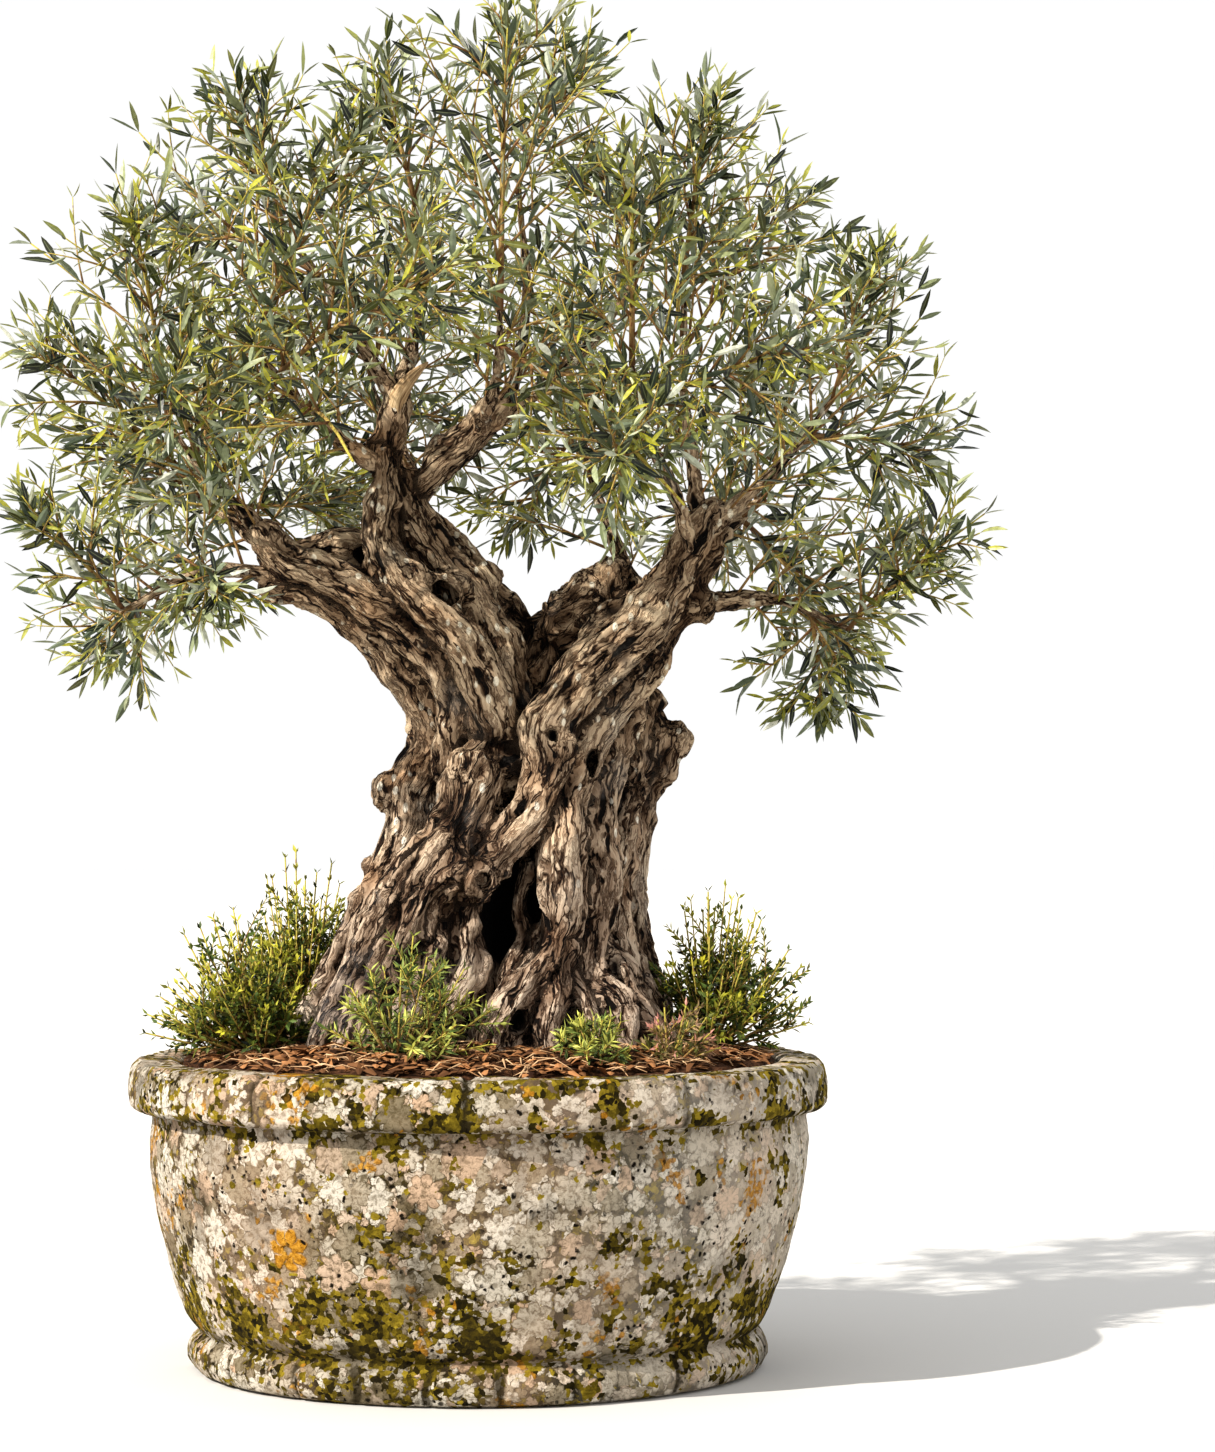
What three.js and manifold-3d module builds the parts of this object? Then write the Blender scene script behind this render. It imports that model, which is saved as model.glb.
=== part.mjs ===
// An olive bonsai in a lichen-grown stone bowl, at its real size.
// Millimetres, +Z up. The origin is on the floor, under the centre of the bowl, and the front is at -Y.
// The trunk is a bundle of fused strands that run from the roots to the limbs, as old olive wood grows.
// The crown is a set of leafy sprays, and small herbs grow in the soil round the foot.
import * as THREE from "three";
import { mergeVertices } from "three/addons/utils/BufferGeometryUtils.js";
import Module from "manifold-3d";

const wasm = await Module();
wasm.setup();

// Driving dimensions
const GAP = 0.4; // clearance between two pieces that touch on the real object
const BOWL = {
  height: 229,
  rimRadius: 260,
  rimHeight: 36,
  mouthRadius: 222,
  bellyRadius: 245,
  footRadius: 216,
  footHeight: 29,
  floor: 34,
  drainHoles: 3,
  drainRadius: 13,
  drainReach: 95,
  relief: 1.3,
  sectors: 36,
};
const SOIL = { crown: 240, edge: 226, sectors: 18, rings: 5, relief: 1.6, flakes: 4 };
const LEAF = { length: 29, width: 6.6, thickness: 1.1 };
const NEEDLE = { length: 14, width: 3.2, thickness: 1.8 };
const CROWN = { sprays: 36, centre: [5, 0, 700], depth: 285, fall: 1.74, lift: 0.1, twig: 2.4, side: 66 };
const STRAND_SIDES = 6;
const GOLDEN_ANGLE = Math.PI * (3 - Math.sqrt(5));

// Strands of the trunk, each a line of [x, y, z, radius] from the top of a limb down to a root
const STRANDS = {
  lowLimbUnder: [
    [-158, -25, 583, 10], [-126, -25, 576, 15], [-97, -22, 561, 17], [-74, -18, 541, 17], [-56, -15, 515, 17],
    [-41, -10, 489, 15], [-36, 0, 463, 17], [-49, 0, 430, 20], [-54, -5, 399, 16], [-64, -5, 373, 17],
    [-79, 0, 347, 18], [-96, 5, 309, 19], [-113, 10, 271, 19], [-126, 13, 244, 16], [-132, 14, 226, 12],
  ],
  lowLimbTop: [
    [-163, -30, 618, 12], [-145, -30, 596, 17], [-111, -30, 582, 18], [-82, -32, 567, 18], [-55, -35, 548, 17],
    [-33, -36, 522, 16], [-21, -36, 492, 14], [-21, -30, 466, 13], [-26, -20, 440, 12],
  ],
  lowLimbBack: [
    [-150, 5, 608, 9], [-121, 12, 609, 15], [-98, 15, 609, 17], [-79, 14, 596, 17], [-60, 14, 575, 17],
    [-38, 18, 537, 20], [-22, 24, 498, 21], [-23, 35, 453, 22], [-38, 45, 384, 25], [-61, 55, 314, 27],
    [-85, 66, 262, 24], [-97, 73, 226, 17],
  ],
  middleStemFront: [
    [-71, -16, 676, 15], [-72, -20, 645, 15], [-73, -24, 611, 16], [-59, -35, 584, 18], [-41, -44, 562, 19],
    [-18, -46, 540, 18], [-1, -46, 510, 19], [9, -42, 481, 20], [15, -30, 455, 17], [19, -24, 422, 14],
  ],
  middleStemRight: [
    [-52, 0, 664, 13], [-49, -2, 632, 16], [-36, -6, 609, 17], [-19, -10, 587, 16], [0, -16, 562, 17],
    [15, -20, 528, 18], [26, -22, 498, 18], [28, -20, 464, 16], [24, -10, 430, 14],
  ],
  middleStemBack: [
    [-42, 15, 632, 13], [-19, 20, 602, 17], [4, 25, 575, 18], [23, 26, 556, 17], [34, 26, 525, 19],
    [34, 30, 491, 23], [15, 46, 422, 30], [-8, 56, 345, 32], [-38, 66, 270, 32], [-50, 74, 226, 22],
  ],
  leftButtress: [
    [6, -36, 452, 18], [-1, -48, 440, 27], [-13, -60, 407, 25], [-33, -64, 374, 29], [-51, -60, 337, 31],
    [-67, -60, 304, 33], [-84, -62, 271, 31], [-96, -66, 246, 27], [-103, -70, 226, 19],
  ],
  rightStemFront: [
    [176, -12, 640, 10], [160, -16, 615, 15], [143, -20, 585, 18], [125, -25, 555, 20], [96, -35, 529, 22],
    [70, -45, 503, 23], [50, -52, 473, 23], [47, -58, 440, 21], [36, -66, 411, 18], [18, -72, 389, 16],
    [1, -74, 366, 17], [-4, -70, 352, 15],
  ],
  cavityLeftWall: [
    [-3, -66, 356, 14], [-9, -62, 330, 15], [-8, -60, 304, 16], [-22, -60, 275, 19], [-37, -66, 250, 18],
    [-42, -70, 226, 13],
  ],
  frontFoot: [
    [-34, -68, 330, 13], [-40, -70, 305, 16], [-48, -76, 276, 18], [-58, -84, 250, 15], [-62, -88, 227, 12],
  ],
  rightStemMiddle: [
    [183, 0, 622, 8], [164, -2, 593, 13], [149, -4, 563, 15], [131, -8, 534, 17], [108, -16, 504, 19],
    [85, -28, 474, 19], [68, -45, 436, 18], [60, -58, 400, 19], [60, -62, 363, 20], [57, -65, 327, 20],
    [47, -75, 298, 22], [29, -85, 273, 20], [17, -92, 251, 19], [12, -98, 228, 14],
  ],
  secondFoot: [
    [58, -70, 313, 18], [50, -84, 276, 18], [45, -92, 251, 17], [46, -99, 228, 12],
  ],
  rightFront: [
    [128, 8, 543, 14], [116, 3, 505, 17], [101, -6, 467, 17], [89, -20, 429, 17], [86, -35, 392, 18],
    [87, -42, 355, 18], [81, -48, 319, 17], [81, -55, 286, 18], [96, -62, 269, 20], [103, -68, 252, 15],
    [107, -73, 228, 11],
  ],
  smallRoot: [
    [68, -66, 292, 10], [79, -78, 264, 10], [84, -86, 244, 9], [87, -90, 227, 8],
  ],
  rightEdge: [
    [129, 14, 498, 12], [121, 12, 453, 14], [111, 8, 415, 14], [102, -4, 377, 16], [99, -8, 347, 13],
    [99, -10, 314, 14], [114, -15, 284, 15], [131, -20, 258, 13], [145, -24, 228, 10],
  ],
  rightToe: [
    [88, -40, 315, 13], [107, -45, 285, 13], [122, -52, 259, 12], [134, -58, 240, 10], [140, -61, 226, 8],
  ],
  burrStem: [
    [133, 20, 470, 19], [126, 24, 440, 17], [108, 35, 392, 21], [103, 45, 346, 23], [111, 50, 299, 25],
    [126, 55, 260, 22], [139, 60, 227, 16],
  ],
  rightStemBack: [
    [166, 16, 612, 11], [136, 20, 557, 17], [107, 30, 513, 21], [84, 44, 467, 27], [69, 60, 407, 29],
    [61, 68, 345, 31], [69, 75, 283, 31], [76, 85, 228, 22],
  ],
  forkStump: [
    [38, 16, 522, 20], [48, 18, 540, 18], [68, 18, 559, 20], [88, 15, 577, 19], [94, 14, 590, 16],
  ],
  heart: [[42, 12, 508, 26], [28, 13, 430, 44], [12, 16, 300, 60], [12, 12, 228, 66]],
  leftFork: [
    [-71, -14, 664, 15], [-67, -12, 696, 13], [-63, -10, 718, 12], [-62, -10, 732, 10],
  ],
  rightFork: [
    [-51, 0, 650, 14], [-34, 0, 671, 14], [-15, -2, 686, 14], [2, -2, 703, 13], [13, -2, 716, 10],
  ],
};

// Burrs and knots: [x, y, z, radius]
const KNOTS = [
  [-67, -2, 427, 14], [-81, 0, 371, 10], [-84, -12, 684, 13], [131, 18, 490, 14], [147, 18, 467, 15],
  [134, 18, 446, 16], [82, -6, 545, 14], [120, 8, 571, 14], [168, -5, 566, 14], [-14, -62, 446, 14],
  [2, -76, 362, 21], [-152, -24, 578, 14], [-110, 14, 616, 15], [104, -62, 268, 17],
];

// Hollows in the wood: centre, half sizes and the turn about Y in degrees
const HOLLOWS = [
  { at: [24, -62, 330], size: [17, 62, 42], turn: 10 },
  { at: [-27, -44, 574], size: [14, 26, 10], turn: 38 },
  { at: [60, -74, 468], size: [7, 20, 10], turn: -25 },
  { at: [8, -92, 386], size: [6, 14, 5], turn: 0 },
  { at: [4, -90, 363], size: [7, 12, 6], turn: 20 },
  { at: [-112, -2, 606], size: [9, 14, 8], turn: 0 },
  { at: [-90, -4, 606], size: [9, 16, 8], turn: 0 },
  { at: [-54, 6, 674], size: [8, 14, 8], turn: 0 },
];

// Boughs, from a point on a limb out into the crown: [x, y, z, radius]
const BOUGHS = [
  [[-154, -28, 600, 11], [-170, -26, 628, 8], [-196, -24, 654, 6], [-232, -20, 700, 3.5]],
  [[-150, -6, 604, 9], [-176, 20, 622, 7], [-205, 62, 646, 5], [-226, 106, 668, 3.5]],
  [[-150, -26, 584, 8], [-178, -34, 590, 6.5], [-214, -44, 586, 5], [-262, -50, 560, 3.5]],
  [[-63, -10, 722, 8], [-84, -14, 752, 6.5], [-112, -24, 796, 5], [-146, -34, 844, 3.5]],
  [[-62, -8, 722, 9], [-52, 12, 760, 7], [-44, 40, 822, 5], [-50, 66, 880, 3.5]],
  [[10, -2, 708, 9], [26, -10, 738, 7], [34, -26, 800, 5], [26, -40, 872, 3.5]],
  [[8, 0, 704, 8], [50, 20, 738, 6.5], [92, 56, 782, 5], [126, 82, 836, 3.5]],
  [[166, -12, 618, 10], [160, -14, 664, 7], [152, -20, 726, 5], [150, -28, 800, 3.5]],
  [[168, -10, 622, 9], [196, -8, 646, 7], [228, -16, 676, 5], [264, -20, 722, 3.5]],
  [[160, 10, 606, 9], [180, 40, 624, 7], [206, 74, 644, 5], [232, 112, 672, 3.5]],
  [[160, -5, 566, 10], [206, -8, 572, 7], [232, -16, 568, 5], [274, -30, 548, 3.5]],
  [[-80, -18, 672, 8], [-108, -46, 690, 6], [-138, -82, 716, 5], [-164, -124, 744, 3.5]],
  [[0, -8, 700, 7], [6, -50, 712, 6], [12, -96, 736, 5], [14, -144, 768, 3.5]],
  [[158, -20, 606, 7], [144, -66, 640, 6], [122, -106, 684, 5], [108, -146, 730, 3.5]],
  [[-44, 12, 652, 8], [-56, 60, 680, 6.5], [-72, 112, 716, 5], [-88, 160, 756, 3.5]],
  [[128, 24, 566, 8], [104, 76, 620, 6.5], [84, 122, 690, 5], [72, 160, 752, 3.5]],
];

// Where sprays can leave a bough, as shares of its length
const LEAVING = [1, 0.8, 0.6];

// The crown's reach from its centre in the front view, every 15 degrees from -60 (0 is right, 90 is up)
const OUTLINE = [230, 330, 392, 384, 362, 338, 334, 292, 264, 296, 312, 300, 300, 296, 334, 350, 356, 380, 376, 340, 240];
const OUTLINE_START = -60;
const OUTLINE_STEP = 15;

// Herbs in the soil: foot, lean, height and spread in millimetres, and how many stems
const HERBS = {
  herb_left_back: { at: [-138, 58], lean: [2, 18], height: 150, spread: 64, stems: 7, seed: 3 },
  herb_left_front: { at: [-160, -52], lean: [-22, -6], height: 104, spread: 66, stems: 6, seed: 5 },
  herb_front: { at: [-58, -136], lean: [12, -6], height: 78, spread: 56, stems: 6, seed: 8 },
  herb_front_small: { at: [80, -156], lean: [0, -4], height: 42, spread: 30, stems: 3, seed: 11 },
  herb_front_right: { at: [136, -122], lean: [6, -4], height: 44, spread: 32, stems: 3, seed: 13 },
  herb_right: { at: [172, 10], lean: [14, -6], height: 122, spread: 66, stems: 7, seed: 17 },
  herb_back: { at: [34, 152], lean: [0, 8], height: 82, spread: 46, stems: 4, seed: 19 },
};

// A repeatable draw from 0 to 1 for a pair of whole numbers
function draw(a, b) {
  const wave = Math.sin(a * 127.1 + b * 311.7) * 43758.5453;
  return wave - Math.floor(wave);
}

const vector = (p) => new THREE.Vector3(p[0], p[1], p[2]);

// A closed geometry as a solid that can be joined and cut
function solid(geometry) {
  const bare = new THREE.BufferGeometry();
  bare.setAttribute("position", geometry.getAttribute("position").clone());
  bare.setIndex(geometry.getIndex());
  const merged = mergeVertices(bare, 1e-4);
  const corners = merged.getIndex().array;
  const kept = [];
  for (let i = 0; i < corners.length; i += 3) {
    const [a, b, c] = corners.subarray(i, i + 3);
    if (a !== b && b !== c && c !== a) kept.push(a, b, c);
  }
  return new wasm.Manifold(
    new wasm.Mesh({
      numProp: 3,
      vertProperties: Float32Array.from(merged.getAttribute("position").array),
      triVerts: Uint32Array.from(kept),
    }),
  );
}

const union = (solids) => wasm.Manifold.union(solids);

// The largest single body of a solid, which drops the loose scraps that a cut leaves
function largest(made) {
  const bodies = made.decompose();
  return bodies.reduce((best, body) => (body.volume() > best.volume() ? body : best));
}

// A solid as a named mesh
function mesh(name, made, material) {
  const { numProp, numVert, vertProperties, triVerts } = made.getMesh();
  const position = new Float32Array(numVert * 3);
  for (let i = 0; i < numVert; i++) position.set(vertProperties.subarray(i * numProp, i * numProp + 3), i * 3);
  const geometry = new THREE.BufferGeometry();
  geometry.setAttribute("position", new THREE.BufferAttribute(position, 3));
  geometry.setIndex(new THREE.BufferAttribute(Uint32Array.from(triVerts), 1));
  geometry.computeVertexNormals();
  const result = new THREE.Mesh(geometry, material);
  result.name = name;
  return result;
}

// Points and radii at equal steps of a smooth line through [x, y, z, radius] stations
function stations(path, steps) {
  const curve = new THREE.CatmullRomCurve3(path.map(vector), false, "catmullrom", 0.5);
  const rows = [];
  for (let i = 0; i <= steps; i++) {
    const place = (i / steps) * (path.length - 1);
    const before = Math.min(Math.floor(place), path.length - 2);
    const share = place - before;
    const radius = path[before][3] * (1 - share) + path[before + 1][3] * share;
    rows.push({ at: curve.getPoint(i / steps), radius });
  }
  return rows;
}

// A bar bent along its stations: a cylinder whose rings are moved to the line. A station's flat share
// thins the bar one way. wobble makes the section lobed, as fluted wood is, and swell grows it all round.
function bar(rows, sides, { wobble = 0, seed = 0, swell = 0, across = [0, -1, 0] } = {}) {
  const steps = rows.length - 1;
  const geometry = new THREE.CylinderGeometry(1, 1, 1, sides, steps);
  const position = geometry.getAttribute("position");
  const frames = [];
  let normal = vector(across);
  rows.forEach((row, i) => {
    const tangent = rows[Math.min(i + 1, steps)].at.clone().sub(rows[Math.max(i - 1, 0)].at).normalize();
    normal = normal.clone().addScaledVector(tangent, -normal.dot(tangent)).normalize();
    const ending = (i === steps ? 1 : 0) - (i === 0 ? 1 : 0);
    const centre = row.at.clone().addScaledVector(tangent, ending * swell);
    frames.push({ centre, normal, binormal: normal.clone().cross(tangent) });
  });
  for (let i = 0; i < position.count; i++) {
    const row = Math.round((position.getY(i) + 0.5) * steps);
    const x = position.getX(i);
    const z = position.getZ(i);
    const angle = Math.atan2(z, x);
    const lobes = Math.sin(3 * angle + row * 0.9 + seed) + Math.sin(2 * angle - row * 1.3 + 2 * seed);
    const { radius, flat = 1 } = rows[row];
    const grown = radius * (1 + wobble * lobes);
    const { centre, normal: n, binormal: b } = frames[row];
    const at = centre.clone().addScaledVector(n, x * (grown + swell));
    at.addScaledVector(b, z * (grown * flat + swell));
    position.setXYZ(i, at.x, at.y, at.z);
  }
  return solid(geometry);
}

// An ellipsoid with few faces
function blob(at, size, turn = 0, detail = 1) {
  const geometry = new THREE.IcosahedronGeometry(1, detail);
  geometry.scale(size[0], size[1], size[2]);
  geometry.rotateY(THREE.MathUtils.degToRad(turn));
  geometry.translate(at[0], at[1], at[2]);
  return solid(new THREE.BufferGeometry().copy(geometry).setIndex([...Array(geometry.getAttribute("position").count).keys()]));
}

// The bowl: a turned profile, its outside roughened by a formula, with drain holes through its floor
function makeBowl() {
  const { height, rimRadius, rimHeight, mouthRadius, bellyRadius, footRadius, footHeight, floor } = BOWL;
  const under = height - rimHeight;
  const outside = [
    [footRadius - 9, 0], [footRadius - 1, 7], [footRadius, 18], [footRadius - 8, footHeight + 1],
    [footRadius + 1, footHeight + 14], [228, 76], [239, 118], [bellyRadius, 165], [bellyRadius - 1, under - 4],
    [rimRadius - 9, under], [rimRadius, under + 8], [rimRadius, height - 12], [rimRadius - 3, height - 4],
    [rimRadius - 11, height],
  ];
  const inside = bowlInside();
  const profile = [[0, 0], ...outside, ...inside, [0, floor]];
  const geometry = new THREE.LatheGeometry(profile.map(([r, z]) => new THREE.Vector2(r, z)), BOWL.sectors);
  geometry.rotateX(Math.PI / 2);
  const position = geometry.getAttribute("position");
  for (let i = 0; i < position.count; i++) {
    const [x, y, z] = [position.getX(i), position.getY(i), position.getZ(i)];
    const radius = Math.hypot(x, y);
    const angle = Math.atan2(y, x);
    const outer = radius > footRadius - 12 && z > 0 && (z < height ? radius > mouthRadius + 1 || z < 100 : false);
    if (!outer) continue;
    const bumps = Math.sin(7 * angle + z * 0.09) + Math.sin(13 * angle - z * 0.13) + 0.8 * Math.sin(24 * angle + z * 0.4);
    const grown = 1 + (BOWL.relief * bumps * 0.4) / radius;
    position.setXYZ(i, x * grown, y * grown, z);
  }
  const drains = [];
  for (let k = 0; k < BOWL.drainHoles; k++) {
    const turn = (2 * Math.PI * (k + 0.25)) / BOWL.drainHoles;
    const drain = new THREE.CylinderGeometry(BOWL.drainRadius, BOWL.drainRadius, 3 * floor, 10);
    drain.rotateX(Math.PI / 2);
    drain.translate(BOWL.drainReach * Math.cos(turn), BOWL.drainReach * Math.sin(turn), floor / 2);
    drains.push(solid(drain));
  }
  return solid(geometry).subtract(union(drains));
}

// The inner wall of the bowl from the mouth down to the floor, as [radius, height]
function bowlInside() {
  const { height, mouthRadius, floor } = BOWL;
  return [[mouthRadius + 2, height], [mouthRadius, height - 6], [214, 170], [198, 86], [172, 48], [140, floor]];
}

// The height of the soil's surface, which is domed and falls to the bowl's mouth
function soilHeight(x, y) {
  const share = Math.hypot(x, y) / BOWL.mouthRadius;
  const lumps = Math.sin(x * 0.09 + 1) * Math.cos(y * 0.11) + Math.sin(x * 0.05 - y * 0.07);
  return SOIL.crown - (SOIL.crown - SOIL.edge) * share ** 4 + SOIL.relief * lumps * (1 - share ** 6);
}

// The soil: it fills the bowl, and its top is raised by the formula above
function makeSoil() {
  const wall = bowlInside().slice(1).map(([r, z]) => [r - GAP, z]);
  const last = wall[wall.length - 1];
  last[1] += GAP;
  const top = [];
  for (let i = 0; i < SOIL.rings; i++) top.push([((wall[0][0] - 1) * i) / (SOIL.rings - 1), BOWL.height + 1]);
  const profile = [[0, last[1]], ...wall.reverse(), ...top.reverse()];
  const geometry = new THREE.LatheGeometry(profile.map(([r, z]) => new THREE.Vector2(r, z)), SOIL.sectors);
  geometry.rotateX(Math.PI / 2);
  const position = geometry.getAttribute("position");
  for (let i = 0; i < position.count; i++) {
    if (position.getZ(i) > BOWL.height) position.setZ(i, soilHeight(position.getX(i), position.getY(i)));
  }
  return solid(geometry);
}

// Flakes of bark and straw lying half sunk in the soil
function makeFlakes() {
  const flakes = [];
  for (let i = 0; i < SOIL.flakes; i++) {
    const angle = i * GOLDEN_ANGLE;
    const reach = 150 + 58 * draw(i, 1);
    const at = [reach * Math.cos(angle), reach * Math.sin(angle)];
    const geometry = new THREE.BoxGeometry(9 + 16 * draw(i, 2), 3 + 4 * draw(i, 3), 1.6);
    geometry.rotateX(0.4 * (draw(i, 4) - 0.5));
    geometry.rotateY(0.3 * (draw(i, 5) - 0.5));
    geometry.rotateZ(6.28 * draw(i, 6));
    geometry.translate(at[0], at[1], soilHeight(at[0], at[1]) + 0.5);
    flakes.push(solid(geometry));
  }
  return flakes;
}

const strandSteps = (path) => Math.max(1, Math.round(0.75 * (path.length - 1)));

// The strands, with swell to make the pocket that they stand in
function strandSolids(swell) {
  return Object.values(STRANDS).map((path, i) => bar(stations(path, strandSteps(path)), STRAND_SIDES, { wobble: 0.05, seed: i, swell }));
}

// How far the crown reaches at an angle in the front view, in degrees
function outlineReach(angle) {
  const place = (angle - OUTLINE_START) / OUTLINE_STEP;
  const before = Math.max(0, Math.min(OUTLINE.length - 2, Math.floor(place)));
  const share = Math.max(0, Math.min(1, place - before));
  return OUTLINE[before] * (1 - share) + OUTLINE[before + 1] * share;
}

// Where spray i ends: even directions on a dome, drawn out to the crown's outline
function sprayTip(i) {
  const rise = 1 - (CROWN.fall * (i + 0.5)) / CROWN.sprays;
  const level = Math.sqrt(1 - rise * rise);
  const heading = i * GOLDEN_ANGLE;
  const direction = [level * Math.cos(heading), level * Math.sin(heading), rise];
  let angle = THREE.MathUtils.radToDeg(Math.atan2(direction[2], direction[0]));
  if (angle < OUTLINE_START - 30) angle += 360;
  const reach = outlineReach(angle) * (0.9 + 0.09 * draw(i, 7));
  const tip = [0, 1, 2].map((k) => CROWN.centre[k] + direction[k] * (k === 1 ? CROWN.depth : reach));
  const lowest = 650 - 1.15 * Math.max(0, Math.abs(tip[0]) - 120);
  tip[2] = Math.max(tip[2], lowest);
  return vector(tip);
}

// The line of every spray: each takes the nearest place still free on a bough that points its way
function sprayLines() {
  const places = [];
  for (const path of BOUGHS) {
    const curve = new THREE.CatmullRomCurve3(path.map(vector), false, "catmullrom", 0.5);
    for (const share of LEAVING) places.push({ at: curve.getPoint(share), along: curve.getTangent(share), share });
  }
  const lines = [];
  for (let i = 0; i < CROWN.sprays; i++) {
    const tip = sprayTip(i);
    const cost = ({ at, along, share }) => {
      const run = tip.clone().sub(at);
      const ahead = run.dot(along) / run.length();
      const awkward = share === 1 ? ahead < 0.2 : ahead > 0.8;
      return run.length() + (awkward ? 300 : 0);
    };
    const place = places.reduce((best, other) => (cost(other) < cost(best) ? other : best));
    places.splice(places.indexOf(place), 1);
    const rise = new THREE.Vector3(0, 0, CROWN.lift * tip.distanceTo(place.at));
    const middle = place.at.clone().lerp(tip, 0.5).add(rise);
    lines.push(new THREE.QuadraticBezierCurve3(place.at, middle, tip));
  }
  return lines;
}

// The part of a curve between two shares of it, as stations with a straight taper
function taper(curve, from, to, steps, thick, thin) {
  const rows = [];
  for (let i = 0; i <= steps; i++) {
    const share = i / steps;
    rows.push({ at: curve.getPoint(from + (to - from) * share), radius: thick * (1 - share) + thin * share });
  }
  return rows;
}

// The wood: strands, knots, forks and boughs, with its hollows cut out
function makeWood() {
  const boughs = BOUGHS.map((path) => bar(stations(path, path.length - 1), 4));
  const knots = KNOTS.map(([x, y, z, r]) => blob([x, y, z], [r * 1.1, r, r * 1.1], 36 * r, 0));
  const hollows = HOLLOWS.map(({ at, size, turn }) => blob(at, size, turn, size[2] > 20 ? 1 : 0));
  return union([...strandSolids(0), ...knots]).subtract(union(hollows)).add(union(boughs));
}

// True if a solid is clear of all the solids in a list
function isClear(made, others) {
  const box = made.boundingBox();
  return others.every((other) => {
    const { min, max } = other.box;
    if ([0, 1, 2].some((k) => box.min[k] > max[k] || box.max[k] < min[k])) return true;
    return other.solid.intersect(made).isEmpty();
  });
}

const asObstacle = (made) => ({ solid: made, box: made.boundingBox() });

// A lance-shaped blade from its foot along a direction. It is a long tetrahedron: one edge is the midrib,
// from foot to tip, and the edge opposite joins the two sides of the blade below it.
function blade(foot, direction, up, length, width, thickness) {
  const geometry = new THREE.TetrahedronGeometry(Math.sqrt(3));
  const position = geometry.getAttribute("position");
  const along = direction.clone().normalize();
  const across = up.clone().cross(along).normalize();
  const out = along.clone().cross(across);
  for (let i = 0; i < position.count; i++) {
    const [x, y, z] = [position.getX(i), position.getY(i), position.getZ(i)];
    const share = z > 0 ? 0.5 - (x + y) / 4 : 0.44;
    const at = foot.clone().addScaledVector(along, share * length);
    at.addScaledVector(across, ((x - y) / 4) * width).addScaledVector(out, (z > 0 ? 0.5 : -0.5) * thickness);
    position.setXYZ(i, at.x, at.y, at.z);
  }
  return solid(geometry);
}

// Two directions square to a line, for what grows round it
function sidesOf(along) {
  const level = new THREE.Vector3(0, 0, 1).cross(along);
  if (level.length() < 0.1) level.set(1, 0, 0);
  level.normalize();
  return [level, along.clone().cross(level).normalize()];
}

// The direction that leaves a line at an angle, at a turn round it
function branchOff(along, turn, angle) {
  const [level, rise] = sidesOf(along);
  const out = level.multiplyScalar(Math.cos(turn)).addScaledVector(rise, Math.sin(turn));
  return along.clone().multiplyScalar(Math.cos(angle)).addScaledVector(out, Math.sin(angle)).normalize();
}

// A direction that is the same each time for a pair of whole numbers
const anyWay = (a, b) => [draw(a, b) - 0.5, draw(a, b + 1) - 0.5, 0.7];

// The stations of a blade that carries on from the end of a shoot
function endBlade(shoot, length, width, thickness) {
  const tangent = shoot.getTangent(1);
  const end = shoot.getPoint(1);
  const radius = width / Math.sqrt(3);
  return [
    { at: end.clone().addScaledVector(tangent, 0.42 * length), radius, flat: thickness / 1.5 / radius },
    { at: end.clone().addScaledVector(tangent, length), radius: 0 },
  ];
}

// The stations of a spray's main shoot, which starts as near its bough as it can and ends in a leaf
function mainShoot(line, i, wood) {
  const length = line.getLength();
  for (let from = GAP; from < 40; from += GAP / 2) {
    const start = from / length;
    const root = taper(line, start, start + 20 / length, 1, CROWN.twig, CROWN.twig);
    if (!isClear(bar(root, 3, { swell: GAP, across: anyWay(i, 2) }), [wood])) continue;
    const rows = [...taper(line, start, 1, 2, CROWN.twig, 1.3), ...endBlade(line, LEAF.length, LEAF.width, LEAF.thickness)];
    return { start, rows };
  }
  throw new Error("a spray can't leave its bough");
}

// Puts a blade on a shoot's side if there it is clear of everything else
function addBlade(parts, obstacles, foot, direction, up, { length, width, thickness }) {
  const grown = blade(foot, direction, up, length + GAP, width + 2 * GAP, thickness + 2 * GAP);
  if (!isClear(grown, obstacles)) return;
  obstacles.push(asObstacle(grown));
  parts.push(blade(foot, direction, up, length, width, thickness));
}

// A shoot that leaves another at a share of its length, rising a little towards its end
function sideShoot(line, share, turn, length) {
  const from = line.getPoint(share);
  const end = from.clone().addScaledVector(branchOff(line.getTangent(share), turn, 0.9), length);
  end.z += 0.12 * length;
  return new THREE.QuadraticBezierCurve3(from, from.clone().lerp(end, 0.5), end);
}

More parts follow.
